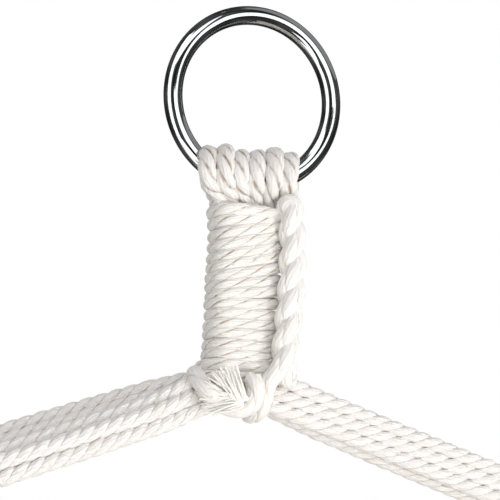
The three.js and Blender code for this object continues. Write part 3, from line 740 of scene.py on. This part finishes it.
def spline(points, count=200):
    """A smooth line through points, as a centripetal Catmull-Rom curve."""
    p = np.asarray(points, float)
    p = np.vstack([2 * p[0] - p[1], p, 2 * p[-1] - p[-2]])
    knots = np.r_[0, np.cumsum(np.linalg.norm(np.diff(p, axis=0), axis=1) ** 0.5)]
    line = []
    for t in np.linspace(knots[1], knots[-2], count):
        i = min(max(int(np.searchsorted(knots, t)) - 1, 1), len(p) - 3)
        near, k = list(p[i - 1 : i + 3]), knots[i - 1 : i + 3]
        for spans in SPLINE_SPANS:
            pairs = zip(near, near[1:], spans)
            near = [a + (b - a) * (t - k[low]) / (k[high] - k[low]) for a, b, (low, high) in pairs]
        line.append(near[0])
    return np.array(line)


def lock_point(x, y, drop):
    """A point given by its drop below the line about which the harness swings."""
    return np.array([x, y, SWING_Z - drop])


def lock_leg(phase, steps=60):
    """One leg of the twisted pair, from the top down."""
    top, foot = lock_point(*LOCK_TOP), lock_point(*LOCK_FOOT)
    turns = np.linalg.norm(foot - top) / LOCK_PITCH
    share = np.linspace(0, 1, steps)[:, None]
    angle = phase - 2 * np.pi * turns * (1 - share)
    around = np.hstack([np.cos(angle), -np.sin(angle), np.zeros_like(angle)])
    bulge = LOCK_BULGE * np.sin(np.pi * share**0.6) * X_AXIS
    return top + (foot - top) * share + bulge + LOCK_OFFSET * around


first_leg, second_leg = lock_leg(0), lock_leg(math.pi)
angles = np.linspace(0, math.pi, 9)[1:-1, None]
top = lock_point(*LOCK_TOP)
bight = top + (first_leg[0] - top) * np.cos(angles) + LOCK_BIGHT * Z_AXIS * np.sin(angles)
last_turn = spline([first_leg[-1]] + [lock_point(*p) for p in LOCK_LAST_TURN])
front_foot = spline([second_leg[-1]] + [lock_point(*p) for p in LOCK_FRONT_FOOT])
route = np.vstack([last_turn[:0:-1], first_leg[::-1], bight, second_leg, front_foot[1:]])
path = make_path(leaned(route, LOCK_LEAN), LOCK_SIZE, LOCK_LAY, 0.9, ease=6)
locking = laid("locking_twist", [path], wrap_cotton, **TIGHT_LAY, Seed=5)
belongs(locking, "harness", "cotton_cord", "locking_cord")

# %% [markdown]
# The cut end has come undone. Its yarns start in a bundle as thick as the cord and fan out to the upper
# left, each with a bend of its own. They go through the same tree as paths of one strand that thin
# towards their tips.

# %% Frayed yarns
FRAY_COUNT, FRAY_SEED, FRAY_BASE = 88, 21, (-5.2, -17.6, 87.0)
FRAY_FROM, FRAY_TO = 103.0, 203.0
# Ranges of a yarn's length, its bow towards the camera, its bend and its curl, then of its place in the
# bundle and its half size
FRAY_REACH, FRAY_LIFT, FRAY_BEND, FRAY_CURL = (12.0, 16.6), (0.8, 3.4), (-1.8, 1.8), (-0.5, 0.5)
FRAY_BESIDE, FRAY_BEFORE, FRAY_HALF = (-2.2, 2.2), (-1.2, 1.0), (0.36, 0.5)


def frayed_paths():
    """One path for each yarn, from the cord's end outwards."""
    chance = np.random.default_rng(FRAY_SEED)
    base, right = leaned([lock_point(*FRAY_BASE)])[0], unit(np.cross(Z_AXIS, toward_camera))
    up = unit(np.cross(toward_camera, right))
    share = np.linspace(0, 1, 7)[:, None]
    paths = []
    for i in range(FRAY_COUNT):
        place = (i + chance.uniform(-1.5, 1.5)) / FRAY_COUNT
        angle = math.radians(FRAY_FROM + (FRAY_TO - FRAY_FROM) * place)
        reach = chance.uniform(*FRAY_REACH)
        out = right * math.cos(angle) + up * math.sin(angle)
        aside = right * -math.sin(angle) + up * math.cos(angle)
        lift, bend, curl = (chance.uniform(*span) for span in (FRAY_LIFT, FRAY_BEND, FRAY_CURL))
        start = base + aside * chance.uniform(*FRAY_BESIDE) + toward_camera * chance.uniform(*FRAY_BEFORE)
        line = start + out * reach * share + aside * (bend * share**2 + curl * np.sin(5 * share))
        line = line + toward_camera * lift * np.sin(math.pi * 0.75 * share)
        thick = chance.uniform(*FRAY_HALF) * (1 - 0.3 * share**2)
        paths.append(make_path(line, np.hstack([thick, thick]), 0, 1.6, ease=1))
    return paths


LOOSE_YARNS = {"Strands": 1, "Strand_share": 1.0, "Centre_share": 0.0, "Sides": 5}
fray = laid("frayed_end", frayed_paths(), yarn_cotton, **LOOSE_YARNS, Seed=9)
belongs(fray, "harness", "cotton_cord")

# %% [markdown]
# ## Ring
#
# The ring is one bent and welded steel bar, polished and plated. The solid has flat facets, so a finer
# torus stands for it. Polished metal shows its surroundings and little of itself.

# %% Ring
def grid_quads(index, close_u=False, close_v=False):
    """Four-sided faces between neighbours in a grid of point numbers, closed or open each way."""
    index = np.vstack([index, index[:1]]) if close_u else index
    index = np.hstack([index, index[:, :1]]) if close_v else index
    corners = (index[:-1, :-1], index[:-1, 1:], index[1:, 1:], index[1:, :-1])
    return np.stack(corners, axis=-1).reshape(-1, 4)


def grid_mesh(name, grid, **closed):
    """A piece of four-sided faces from a grid of points in millimetres."""
    index = np.arange(grid[..., 0].size).reshape(grid.shape[:2])
    mesh = new_mesh(name, grid.reshape(-1, 3), faces=grid_quads(index, **closed).tolist())
    mesh.shade_smooth()
    return in_scene(name, mesh)


def make_steel():
    """Polished plated steel with faint handling marks."""
    material, tree = new_material("polished_steel")
    place = own_place(tree)
    smears, scratches = noise(place, 90.0, 3.0, 0.6), noise(stretched(place, 900, 5200, 900), 1.0)
    return shaded(
        material,
        Metallic=1.0,
        Base_Color=mixed(ranged(smears, 0.3, 0.7), (0.60, 0.61, 0.62), (0.68, 0.69, 0.70)),
        Roughness=ranged(smears, 0.35, 0.75, 0.04, 0.10),
        Normal=bump(scratches, 0.000004, 0.5),
    )


major, minor = full_turn(192), full_turn(40).T
radius = RING_RADIUS + RING_BAR / 2 * np.cos(minor)
y = RING_BAR / 2 * np.sin(minor) + 0 * major
torus = np.stack([radius * np.cos(major), y, radius * np.sin(major) - RING_INSIDE / 2], axis=2)
ring = grid_mesh("ring", torus, close_u=True, close_v=True)
ring.data.materials.append(make_steel())
belongs(ring, "ring", "ring_steel", "hanging_ring")

# %% [markdown]
# ## Spreader bar
#
# The bar is a turned hardwood dowel with eased ends, drilled upright for the cords. The holes are
# relieved at both mouths so that they don't saw the cords. Its grain runs along it, and rubbed-in oil
# gives a low gloss.

# %% Wood
def make_wood():
    """Oiled hardwood with grain along X."""
    material, tree = new_material("oiled_hardwood")
    place = own_place(tree)
    drift = noise(stretched(place, 2.2, 26, 26), 1.0, 3.0)
    bands = noise(stretched(place, 3.5, 210, 210), 1.0, 2.0, 0.6)
    pores = noise(stretched(place, 70, 2600, 2600), 1.0)
    colour = mixed(ranged(drift, 0.3, 0.7), (0.52, 0.31, 0.155), (0.63, 0.41, 0.225))
    colour = mixed(ranged(bands, 0.4, 0.68, 0.0, 0.6), colour, (0.40, 0.22, 0.10))
    colour = mixed(ranged(pores, 0.56, 0.72, 0.0, 0.55), colour, (0.27, 0.14, 0.06))
    return shaded(
        material,
        Base_Color=colour,
        Roughness=ranged(bands, 0.3, 0.7, 0.38, 0.56),
        Normal=bump(pores, 0.00008, 0.6),
        Coat_Weight=0.25,
        Coat_Roughness=0.3,
    )


# %% Bar
def turned(name, profile, sides, along_x=False):
    """A closed piece turned round the Z axis from (radius, height) pairs. It can be laid along X."""
    angles = full_turn(sides)
    radius, height = np.array(profile, float).T
    grid = np.stack([radius * np.cos(angles), radius * np.sin(angles), height + 0 * angles], axis=2)
    piece = grid_mesh(name, grid[:, :, ::-1] if along_x else grid, close_u=True, close_v=radius[0] > 0)
    shape = bmesh.new()
    shape.from_mesh(piece.data)
    bmesh.ops.remove_doubles(shape, verts=shape.verts, dist=1e-7)
    bmesh.ops.recalc_face_normals(shape, faces=shape.faces)
    shape.to_mesh(piece.data)
    shape.free()
    return piece


def both_ways(upper):
    """A whole profile from its upper half, which is mirrored downwards."""
    return [(r, -h) for r, h in upper[::-1]] + upper


BAR_SIDES, BAR_EDGE, BAR_SHARP = 64, 3.0, 32.0
HOLE_RADIUS, HOLE_RELIEF, HOLE_MOUTH, HOLE_SIDES = 6.7, 1.6, 15.2, 40
half = BAR_LENGTH / 2
upper = [(BAR_RADIUS, x) for x in np.linspace(-half, half, 60)[30:-1]]
for a in np.linspace(math.pi / 2, 0, 7):
    lost, kept = BAR_EDGE * (1 - math.sin(a)), BAR_EDGE * (1 - math.cos(a))
    upper.append((BAR_RADIUS - lost, half - kept))
bar = turned("bar", both_ways(upper + [(0, half)]), BAR_SIDES, along_x=True)
bar.data.transform(Matrix.Translation((0, 0, BAR_Z * MM)))
mouth = []
for a in np.linspace(0, 1.4, 6):
    r = HOLE_RADIUS + HOLE_RELIEF * (1 - math.cos(a))
    mouth.append((r, HOLE_MOUTH - HOLE_RELIEF + 1.5 * HOLE_RELIEF * math.sin(a)))
drill = both_ways(mouth + [(r + 0.8, h + 2.6) for r, h in mouth[-2:]] + [(0, 20)])
for x in (side * x for x in HOLE_X for side in (-1, 1)):
    tool = turned("hole_tool", drill, HOLE_SIDES)
    tool.data.transform(Matrix.Translation((x * MM, 0, BAR_Z * MM)))
    modifier = bar.modifiers.new("hole", "BOOLEAN")
    modifier.object, modifier.solver, modifier.operation = tool, "EXACT", "DIFFERENCE"
    drilled = after_modifiers(bar)
    bar.modifiers.clear()
    bar.data = drilled
    bpy.data.objects.remove(tool)
bar.data.shade_smooth()
bar.data.set_sharp_from_angle(angle=math.radians(BAR_SHARP))
bar.data.materials.clear()
bar.data.materials.append(make_wood())
belongs(bar, "harness", "bar_wood", "spreader_bar")

# %% [markdown]
# ## Seat
#
# The seat is one piece of canvas, hemmed all round, that hangs from six cords. Its cut is a rectangle,
# and its shape comes from how it is held. Between two eyelets its edge draws in, and from each eyelet
# folds run into the cloth. The shape is worked out directly, because it has to pass through the eyelets.

# %% Seat surface
SEAT_DEPTH, SEAT_HEIGHT, SEAT_WIDTH, SEAT_SIDE_HEIGHT = 618.0, 422.0, 816.0, 215.0
SEAT_DROP, SEAT_FRONT_OFFSET, SEAT_SIDE_POWER = 802.0, 364.0, 2.2
SEAT_BOTTOM_Z, CLOTH_HALF_WIDTH = BAR_Z - SEAT_DROP, SEAT_WIDTH / 2 * 0.93
# The seat's line from front to back, and its width and side height at equal steps along it, as shares
SEAT_LINE = ((0, 0.156), (0.175, 0.066), (0.369, 0), (0.563, 0), (0.728, 0.123), (0.846, 0.346))
SEAT_LINE += ((0.922, 0.597), (0.974, 0.844), (1, 1))
SEAT_WIDTHS = (0.912, 0.897, 0.882, 0.882, 0.902, 0.931, 0.961, 0.985, 1)
SEAT_RISES = (0.884, 0.953, 1, 1, 0.953, 0.86, 0.744, 0.628, 0.558)
EYELET_ALONG, EYELET_ACROSS = (0.03125, 0.21875, 0.40625, 0.59375, 0.78125, 0.96875), 0.955
EYELET_HALF_GAP, EDGE_DRAW, EDGE_DRAW_FROM = 0.094, 7.0, 0.6
MIDDLE_FOLD, SIDE_FOLD, EYELET_FOLD, EYELET_FOLD_FADE = 2.2, 1.4, 4.2, 110

line = [(0, SEAT_DEPTH * d - SEAT_FRONT_OFFSET, SEAT_BOTTOM_Z + SEAT_HEIGHT * h) for d, h in SEAT_LINE]
seat_line, _, seat_lengths = resampled(spline(line, 500), np.zeros((500, 1)), 2.0)
SEAT_LENGTH = seat_lengths[-1]


def plain_seat(across, along):
    """Points of the seat as its cords hold it, before any fold."""
    share = along * (len(seat_line) - 1)
    y, z = (np.interp(share, np.arange(len(seat_line)), seat_line[:, k]) for k in (1, 2))
    width, rise = (np.interp(along * 8, range(9), shares) for shares in (SEAT_WIDTHS, SEAT_RISES))
    away = np.min([np.abs(along - a) for a in EYELET_ALONG], axis=0)
    drawn_in = EDGE_DRAW * eased(away, 0, EYELET_HALF_GAP) * eased(np.abs(across), EDGE_DRAW_FROM, 0.4)
    x = across * SEAT_WIDTH / 2 * width - np.sign(across) * drawn_in
    return np.stack([x, y, z + SEAT_SIDE_HEIGHT * rise * np.abs(across) ** SEAT_SIDE_POWER], axis=-1)


def seat_normals(across, along, step=0.004):
    """Upper normals of the plain seat."""
    over = plain_seat(across + step, along) - plain_seat(across - step, along)
    low, high = np.clip(along - step, 0, 1), np.clip(along + step, 0, 1)
    return unit(np.cross(over, plain_seat(across, high) - plain_seat(across, low)))


def fold_height(across, along):
    """How far the cloth stands off the plain seat. All lengths are in millimetres of cloth."""
    u, v = across * CLOTH_HALF_WIDTH, along * SEAT_LENGTH
    height = MIDDLE_FOLD * np.sin(v / 61 + 1.3 * np.sin(u / 130)) * np.cos(u / 97 + 0.6)
    height = height + SIDE_FOLD * np.sin(u / 33 + v / 85 + 2.0) * eased(np.abs(across))
    calm = 1.0
    for side in (-1, 1):
        for number, place in enumerate(EYELET_ALONG):
            inward, beside = EYELET_ACROSS * CLOTH_HALF_WIDTH - side * u, v - place * SEAT_LENGTH
            reach, angle = np.hypot(inward, beside), np.arctan2(beside, inward)
            grown = np.exp(-reach / EYELET_FOLD_FADE) * eased(reach, 0, 50)
            height = height + EYELET_FOLD * np.cos(7 * angle + 1.7 * number + side) * grown
            calm = calm * eased(reach, 11, 30)
    return height * calm


def seat_surface(across, along):
    """Points of the cloth's middle layer, and its upper normals."""
    across, along = np.asarray(across, float), np.asarray(along, float)
    normals = seat_normals(across, along)
    return plain_seat(across, along) + normals * fold_height(across, along)[..., None], normals


# %% [markdown]
# ### Canvas
#
# The weave is a plain weave of thick yarns. A checker decides which yarn lies on top, and each yarn's own
# round profile gives the relief, both on coordinates of the flat cloth. The hems are the cloth folded
# over, so it is twice as thick there.

# %% Canvas material
YARN_WIDTH, WAVE_SCALE = 0.0012, math.pi / 10


def make_canvas():
    """Natural cotton canvas with a plain weave."""
    material, tree = new_material("cotton_canvas")
    flat = stored(tree, "cloth", "Vector")
    yarn = stretched(flat, 1 / YARN_WIDTH, 1 / YARN_WIDTH, 1)
    wave = {"Vector": yarn, "Scale": WAVE_SCALE}
    warp, weft = (term(tree, "ShaderNodeTexWave", wave, 1, bands_direction=axis) for axis in "XY")
    on_top = term(tree, "ShaderNodeTexChecker", {"Vector": yarn, "Scale": 1.0}, 1)
    height = on_top * warp + (1.0 - on_top) * weft
    slubs = noise(stretched(flat, 900, 45, 1), 1.0)
    slubs_across = noise(stretched(flat, 45, 900, 1), 1.0)
    age = ranged(noise(flat, 5.0, 3.0), 0.4, 0.7, 0.0, 0.25)
    # Painted shade: the weave's low places, between the yarns, are coloured darker than the yarns' tops.
    colour = mixed(ranged(height, 0.0, 0.8), (0.55, 0.49, 0.40), (0.82, 0.775, 0.69))
    colour = mixed(ranged(slubs, 0.55, 0.75, 0.0, 0.4), colour, (0.70, 0.64, 0.54))
    colour = mixed(ranged(slubs_across, 0.55, 0.75, 0.0, 0.35), colour, (0.90, 0.86, 0.78))
    colour = mixed(age, colour, (0.74, 0.69, 0.60), "MULTIPLY")
    return shaded(
        material,
        Base_Color=colour,
        Normal=bump(height, 0.0003, 0.8),
        Roughness=ranged(slubs, 0.3, 0.7, 0.82, 0.96),
        Sheen_Weight=0.2,
        Specular_IOR_Level=0.2,
    )


# %% Canvas
SIDE_HEM, END_HEM = 34.0, 26.0
side_hem_share, end_hem_share = SIDE_HEM / CLOTH_HALF_WIDTH, END_HEM / SEAT_LENGTH
CLOTH_HALF, HEM_HALF, RIM_SHARE = 0.65, 1.3, 0.55
HEM_PLACES = np.array([0, 0.02, 0.25, 0.5, 0.75, 0.985, 1.015])


def with_hems(low, high, hem, count):
    """Grid places between two edges, with a line on each side of each hem's fold."""
    ends = HEM_PLACES * hem
    return np.r_[low + ends, np.linspace(low + hem * 1.06, high - hem * 1.06, count), high - ends[::-1]]


across, along = np.meshgrid(with_hems(-1, 1, side_hem_share, 190), with_hems(0, 1, end_hem_share, 230))
middle, normals = seat_surface(across, along)
from_side, from_end = 1 - np.abs(across), np.minimum(along, 1 - along)
half_thick = np.where((from_side < side_hem_share) | (from_end < end_hem_share), HEM_HALF, CLOTH_HALF)
half_thick = half_thick * np.where(np.minimum(from_side, from_end) < 1e-7, RIM_SHARE, 1.0)
off_middle = normals * half_thick[..., None]
layers = np.vstack([(middle + off_middle).reshape(-1, 3), (middle - off_middle).reshape(-1, 3)])
count = across.size
index = np.arange(count).reshape(across.shape)
quads = grid_quads(index)
border = np.r_[index[0, :-1], index[:-1, -1], index[-1, :0:-1], index[:0:-1, 0]]
after = np.roll(border, -1)
rim_quads = np.stack([after, border, border + count, after + count], axis=-1)
faces = np.vstack([quads, quads[:, ::-1] + count, rim_quads]).tolist()
flat = np.stack([across * CLOTH_HALF_WIDTH, along * SEAT_LENGTH, 0 * across], axis=-1).reshape(-1, 3) * MM
mesh = new_mesh("canvas", layers, faces=faces, cloth=np.vstack([flat, flat]))
mesh.shade_smooth()
mesh.materials.append(make_canvas())
canvas = in_scene("canvas", mesh)
belongs(canvas, "seat", "canvas", "seat_canvas")

# %% [markdown]
# ### Stitches and eyelets
#
# Stitches and eyelets repeat, so a second node tree places copies of one template on points. Each point
# carries the direction that its copy stands on and the direction that it points along.

# %% The tree that places copies
def make_copies_tree():
    """A template at each point, turned by the point's two directions."""
    tree, given = new_geometry_tree(
        "placed_copies", ("Points", "Geometry"), ("Template", "Object"), ("Material", "Material")
    )
    template = term(tree, "GeometryNodeObjectInfo", {"Object": given["Template"]}, "Geometry")
    stands, ahead = (read(tree, name, "FLOAT_VECTOR") for name in ("stands", "ahead"))
    axes = {"Primary Axis": stands, "Secondary Axis": ahead}
    turn = term(tree, "FunctionNodeAxesToRotation", axes, primary_axis="Z", secondary_axis="X")
    points = term(tree, "GeometryNodeMeshToPoints", {"Mesh": given["Points"]})
    inputs = {"Points": points, "Instance": template, "Rotation": turn}
    placed = term(tree, "GeometryNodeInstanceOnPoints", inputs)
    return finished(placed, given["Material"], ("stands", "ahead"))


copies_tree = make_copies_tree()


def copies(name, spots, stands, ahead, template, material):
    """A mesh piece with a template at each spot."""
    mesh = new_mesh(name, spots, stands=stands, ahead=ahead)
    piece = through_tree(name, mesh, copies_tree, Template=template, Material=material)
    bpy.data.objects.remove(template)
    return piece


# %% Stitches
STITCH_LENGTH, STITCH_PITCH, STITCH_RADIUS, STITCH_LIFT = 3.4, 4.4, 0.42, 0.12
STITCH_INSETS, SIDE_ROW, END_ROW = (0.86, 0.14), (0.012, 0.988), (-0.955, 0.955)


def stitch_rows():
    """Places of all stitches on the cloth, as (across, along) pairs, with the direction of their row."""
    rows = []
    for inset in STITCH_INSETS:
        along = np.arange(*SIDE_ROW, STITCH_PITCH / SEAT_LENGTH)
        across = np.arange(*END_ROW, STITCH_PITCH / CLOTH_HALF_WIDTH)
        edge, end = 1 - side_hem_share * inset, end_hem_share * inset
        rows += [(np.full_like(along, side * edge), along, (0, 1)) for side in (-1, 1)]
        rows += [(across, np.full_like(across, place), (1, 0)) for place in (end, 1 - end)]
    return rows


spots, stands, aheads = [], [], []
for across, along, (over, onward) in stitch_rows():
    here, normals = seat_surface(across, along)
    there, _ = seat_surface(across + 0.002 * over, along + 0.001 * onward)
    for face in (-1, 1):
        spots.append(here + normals * face * (HEM_HALF + STITCH_LIFT))
        stands.append(normals * face)
        aheads.append(unit(there - here))
spots, stands, aheads = (np.concatenate(v) for v in (spots, stands, aheads))
angles = np.linspace(0, np.pi, 6)
shape = np.column_stack([STITCH_RADIUS * np.sin(angles), STITCH_LENGTH / 2 * -np.cos(angles)])
stitch = turned("stitch_template", shape, 6, along_x=True)
thread, tree = new_material("sewing_thread")
twist = noise(own_place(tree), 2500.0)
shaded(
    thread,
    Base_Color=mixed(twist, (0.60, 0.53, 0.42), (0.80, 0.74, 0.64)),
    Roughness=ranged(twist, 0.3, 0.7, 0.6, 0.85),
    Normal=bump(twist, 0.00015),
)
stitches = copies("stitches", spots, stands, aheads, stitch, thread)
belongs(stitches, "seat", "canvas")

# %% Eyelets
EYELET_HOLE, EYELET_FLANGE, EYELET_ROLL = 4.2, 9.0, 1.3


def make_brass():
    """Brass, a little dulled where it is touched least."""
    material, tree = new_material("eyelet_brass")
    place = own_place(tree)
    dull = noise(place, 260.0, 4.0, 0.65)
    return shaded(
        material,
        Metallic=1.0,
        Base_Color=mixed(ranged(dull, 0.35, 0.7), (0.80, 0.60, 0.30), (0.52, 0.36, 0.17)),
        Roughness=ranged(dull, 0.3, 0.75, 0.2, 0.48),
        Normal=bump(noise(place, 1500.0), 0.00002),
    )


def eyelet_profile():
    """The eyelet's section: a barrel that rolls over into a domed flange on each face."""
    rise, under = HEM_HALF + 0.15, HEM_HALF + 0.03
    upper = [(EYELET_HOLE + 0.35, 0.0), (EYELET_HOLE, rise * 0.6)]
    for a in np.linspace(0, math.pi * 0.62, 7):
        upper.append((EYELET_HOLE + EYELET_ROLL * (1 - math.cos(a)), rise + EYELET_ROLL * math.sin(a)))
    dome = ((1.2, 0.75), (0.3, 0.35), (0, 0))
    upper += [(EYELET_FLANGE - inset, rise + height) for inset, height in dome]
    upper += [(EYELET_FLANGE - 0.4, under), (EYELET_HOLE + 1.1, under), (EYELET_HOLE + 1.0, 0.0)]
    return upper + [(r, -h) for r, h in upper[-2:0:-1]]


sides, along = np.repeat([-1, 1], 6), np.tile(EYELET_ALONG, 2)
eyelet_spots, eyelet_normals = seat_surface(sides * EYELET_ACROSS, along)
onward, _ = seat_surface(sides * EYELET_ACROSS, along + 0.002)
ahead = unit(onward - eyelet_spots)
template = turned("eyelet_template", eyelet_profile(), 28)
eyelets = copies("eyelets", eyelet_spots, eyelet_normals, ahead, template, make_brass())
solids = [f"eyelet_{name}_{n + 1}" for name in side_names.values() for n in range(6)]
belongs(eyelets, "seat", "eyelet_brass", *solids)

# %% [markdown]
# ### Seat cords
#
# Three cords at each end of the bar carry the seat. Each lies over the bar, and both its ends go down
# through an eyelet into a knot under the canvas.

# %% Seat cords
SEAT_CORD_X, SEAT_TURN_REACH, SEAT_TURN_LIFT = (476.4, 483.5, 490.6), 9.0, 6.5
SEAT_LOOP_RADIUS = BAR_RADIUS + CORD_RADIUS * CORD_FULLNESS + 0.15
ENTRY_LIFT, KNOT_DROP, CORD_END = 3.0, 2.6, 13.5
KNOT_TURNS, KNOT_PITCH, KNOT_RADIUS, KNOT_TAIL, KNOT_LAY = 2.4, 4.9, 4.2, 9.0, 15.0


def wrapped_knot(spot, normal):
    """A cord's end wound round the cord below its eyelet, and the tail that sticks out."""
    axis = unit(-normal)
    first = unit(np.cross(axis, Y_AXIS if abs(axis[1]) < 0.8 else X_AXIS))
    second = np.cross(axis, first)
    turns = np.linspace(0, KNOT_TURNS, int(KNOT_TURNS * 16))[:, None]
    angle = 2 * np.pi * turns
    reach = KNOT_RADIUS * (0.3 + 0.7 * eased(np.minimum(turns, KNOT_TURNS - turns), 0, 0.35))
    coil = spot - normal * KNOT_DROP + axis * (KNOT_CORD + KNOT_PITCH * turns)
    coil = coil + reach * (first * np.cos(angle) + second * np.sin(angle))
    end = coil[-1] + axis * KNOT_TAIL + (first - second) * 0.12 * KNOT_TAIL
    return np.vstack([coil, (coil[-1] + end) / 2 + second * 0.8, end])


def seat_leg(x, spot, normal, row):
    """One leg of a seat cord from the bar to its knot, and the angle at which it leaves the bar."""
    lifted = spot + normal * SEAT_TURN_LIFT
    reach_y, drop = row * lifted[1], BAR_Z - lifted[2]
    leave = math.pi + math.atan2(-reach_y, drop) - math.acos(SEAT_LOOP_RADIUS / math.hypot(reach_y, drop))
    leave = min(leave, math.pi)
    y, z = row * SEAT_LOOP_RADIUS * math.sin(leave), BAR_Z + SEAT_LOOP_RADIUS * math.cos(leave)
    start = np.array([x, y, z])
    before = lifted - unit(lifted - start) * SEAT_TURN_REACH
    run = start + (before - start) * np.linspace(0, 1, 30)[1:, None]
    t = np.linspace(0, 1, 7)[1:, None]
    turn = before * (1 - t) ** 2 + lifted * 2 * t * (1 - t) + (spot + normal * ENTRY_LIFT) * t**2
    return np.vstack([run, turn, spot, spot - normal * CORD_END]), leave


for side, side_name in side_names.items():
    for number in range(3):
        x = side * SEAT_CORD_X[number]
        first = 0 if side < 0 else 6
        ends = [(eyelet_spots[at], eyelet_normals[at]) for at in (first + 2 - number, first + 3 + number)]
        front, front_leave = seat_leg(x, *ends[0], -1)
        back, back_leave = seat_leg(x, *ends[1], 1)
        angles = np.linspace(-front_leave, back_leave, 33)[1:-1, None]
        y, z = SEAT_LOOP_RADIUS * np.sin(angles), BAR_Z + SEAT_LOOP_RADIUS * np.cos(angles)
        route = np.vstack([front[::-1], np.hstack([np.full_like(angles, x), y, z]), back])
        paths = [make_path(route, CORD_RADIUS, CORD_LAY, 2.0, reference=X_AXIS, phase=number)]
        paths += [make_path(wrapped_knot(*end), KNOT_CORD, KNOT_LAY, ease=2) for end in ends]
        piece = laid(f"seat_rope_{side_name}_{number + 1}", paths, cotton, Sides=7, Seed=number + 20)
        belongs(piece, "seat", "cotton_cord", f"seat_cord_{side_name}_{number + 1}")

# %% [markdown]
# ## Light and surroundings
#
# A soft key spot stands on the camera's right, below the neck, so the cords' upper and left sides fall
# into light shade. Two broad weak soft boxes fill from the front, two spots light the seat, and the floor
# glows a little. The world is white where the camera looks at it. Polished metal in front of white paper
# would vanish, so photographers stand dark screens round it and leave gaps for the lamps. Here a dark
# shell is the screens and six bright cards are the gaps, and only reflections see them.

# %% Lights
NECK, SEAT_MIDDLE = np.array([0, 0, -0.1]), np.array([0, 0.03, -0.88])


def lamp(name, kind, watts, target, azimuth, elevation, distance, **settings):
    """A lamp that looks at its target. Neither the camera nor a reflection sees it."""
    data = bpy.data.lights.new(name, kind)
    for setting, value in {"energy": watts, **settings}.items():
        setattr(data, setting, value)
    thing = in_scene(name, data)
    look_back(thing, target, direction(azimuth, elevation), distance)
    thing.visible_camera = thing.visible_glossy = False


SOFT_BOX = {"shape": "RECTANGLE", "size": 1.5, "size_y": 1.5}
KEY_SPOT = {"spot_size": math.radians(34), "spot_blend": 1.0, "shadow_soft_size": 0.4}
SEAT_SPOT = {"spot_size": math.radians(27), "spot_blend": 1.0, "shadow_soft_size": 0.5}
lamp("key", "SPOT", 80, NECK, CAMERA_AZIMUTH + 46, -30, 1.7, **KEY_SPOT)
lamp("seat_front", "SPOT", 120, SEAT_MIDDLE, 14, 18, 2.8, **SEAT_SPOT)
lamp("seat_back", "SPOT", 90, SEAT_MIDDLE, 165, 12, 2.8, **SEAT_SPOT)
lamp("front", "AREA", 11, NECK, -14, 10, 2.4, **SOFT_BOX)
lamp("side", "AREA", 5, NECK, 62, 10, 2.4, **SOFT_BOX)

WORLD_STRENGTH = 0.62
world = bpy.data.worlds.new("studio")
bpy.context.scene.world = world
world.use_nodes = True
rays = add_node(world.node_tree, "ShaderNodeLightPath").outputs
seen, mirrored, through = (Term(rays[f"Is {kind} Ray"]) for kind in ("Camera", "Glossy", "Transmission"))
shown = reckoned("MAXIMUM", reckoned("MAXIMUM", seen, mirrored), through)
strength = shown * (1 - WORLD_STRENGTH) + WORLD_STRENGTH
feed(world.node_tree.nodes["Background"], {"Strength": strength, "Color": (1, 1, 1, 1)})

# %% Floor and screens
FLOOR_HALF, FLOOR_Z, SHELL_RADIUS, CARD_RADIUS = 9000, -1520, 9000, 8000
corners = [(x * FLOOR_HALF, y * FLOOR_HALF, FLOOR_Z) for x, y in ((-1, -1), (1, -1), (1, 1), (-1, 1))]
floor = in_scene("floor", new_mesh("floor", corners, faces=[(0, 1, 2, 3)]))
paper, tree = new_material("pale_floor")
tint = mixed(noise(own_place(tree), 3.0), (0.86, 0.86, 0.85), (0.90, 0.90, 0.89))
shaded(paper, Base_Color=tint, Roughness=0.9, Emission_Color=(1, 1, 1, 1), Emission_Strength=0.1)
floor.data.materials.append(paper)
floor.visible_glossy = False


def reflected(name, grid, patches, *levels, **closed):
    """A piece that only reflections see. It glows unevenly, in patches of a size."""
    piece = grid_mesh(name, grid, **closed)
    material, tree = new_material(name)
    level = ranged(noise(stretched(own_place(tree), patches, patches, patches), 1.0), *levels)
    shaded(material, Base_Color=(0, 0, 0, 1), Specular_IOR_Level=0.0)
    shaded(material, Emission_Color=level, Emission_Strength=1.0)
    piece.data.materials.append(material)
    for flag in ("camera", "diffuse", "shadow", "transmission"):
        setattr(piece, "visible_" + flag, False)
    return piece


def sphere_patch(azimuths, elevations, radius):
    """A grid of points on a sphere, from lists of azimuths and elevations in degrees."""
    return np.array([[radius * direction(a, e) for e in elevations] for a in azimuths])


turn, height = full_turn(48), np.linspace(-0.49, 0.49, 25)[None, :] * np.pi
shell = [np.cos(turn) * np.cos(height), np.sin(turn) * np.cos(height), np.sin(height) + 0 * turn]
shell = SHELL_RADIUS * np.stack(shell, axis=2)
screens = reflected("dark_screens", shell, 0.25, 0.35, 0.75, 0.012, 0.12, close_u=True)
for name, azimuths, elevations, brightness in (
    ("left_card", (-86, -48), (-60, 60), 1.9),
    ("upper_card", (-48, 6), (28, 52), 1.9),
    ("lower_card", (-48, -8), (-46, -26), 1.9),
    ("right_card", (-9, 37), (-10, 10), 1.9),
    ("high_card", (16, 33), (10, 25), 1.9),
    ("far_card", (44, 125), (20, 75), 0.34),
):
    patch = sphere_patch(np.linspace(*azimuths, 17), np.linspace(*elevations, 9), CARD_RADIUS)
    reflected(name, patch, 0.4, 0.2, 0.8, 0.9 * brightness, brightness)
bpy.context.scene.view_settings.view_transform = "Standard"
print("stage ready")
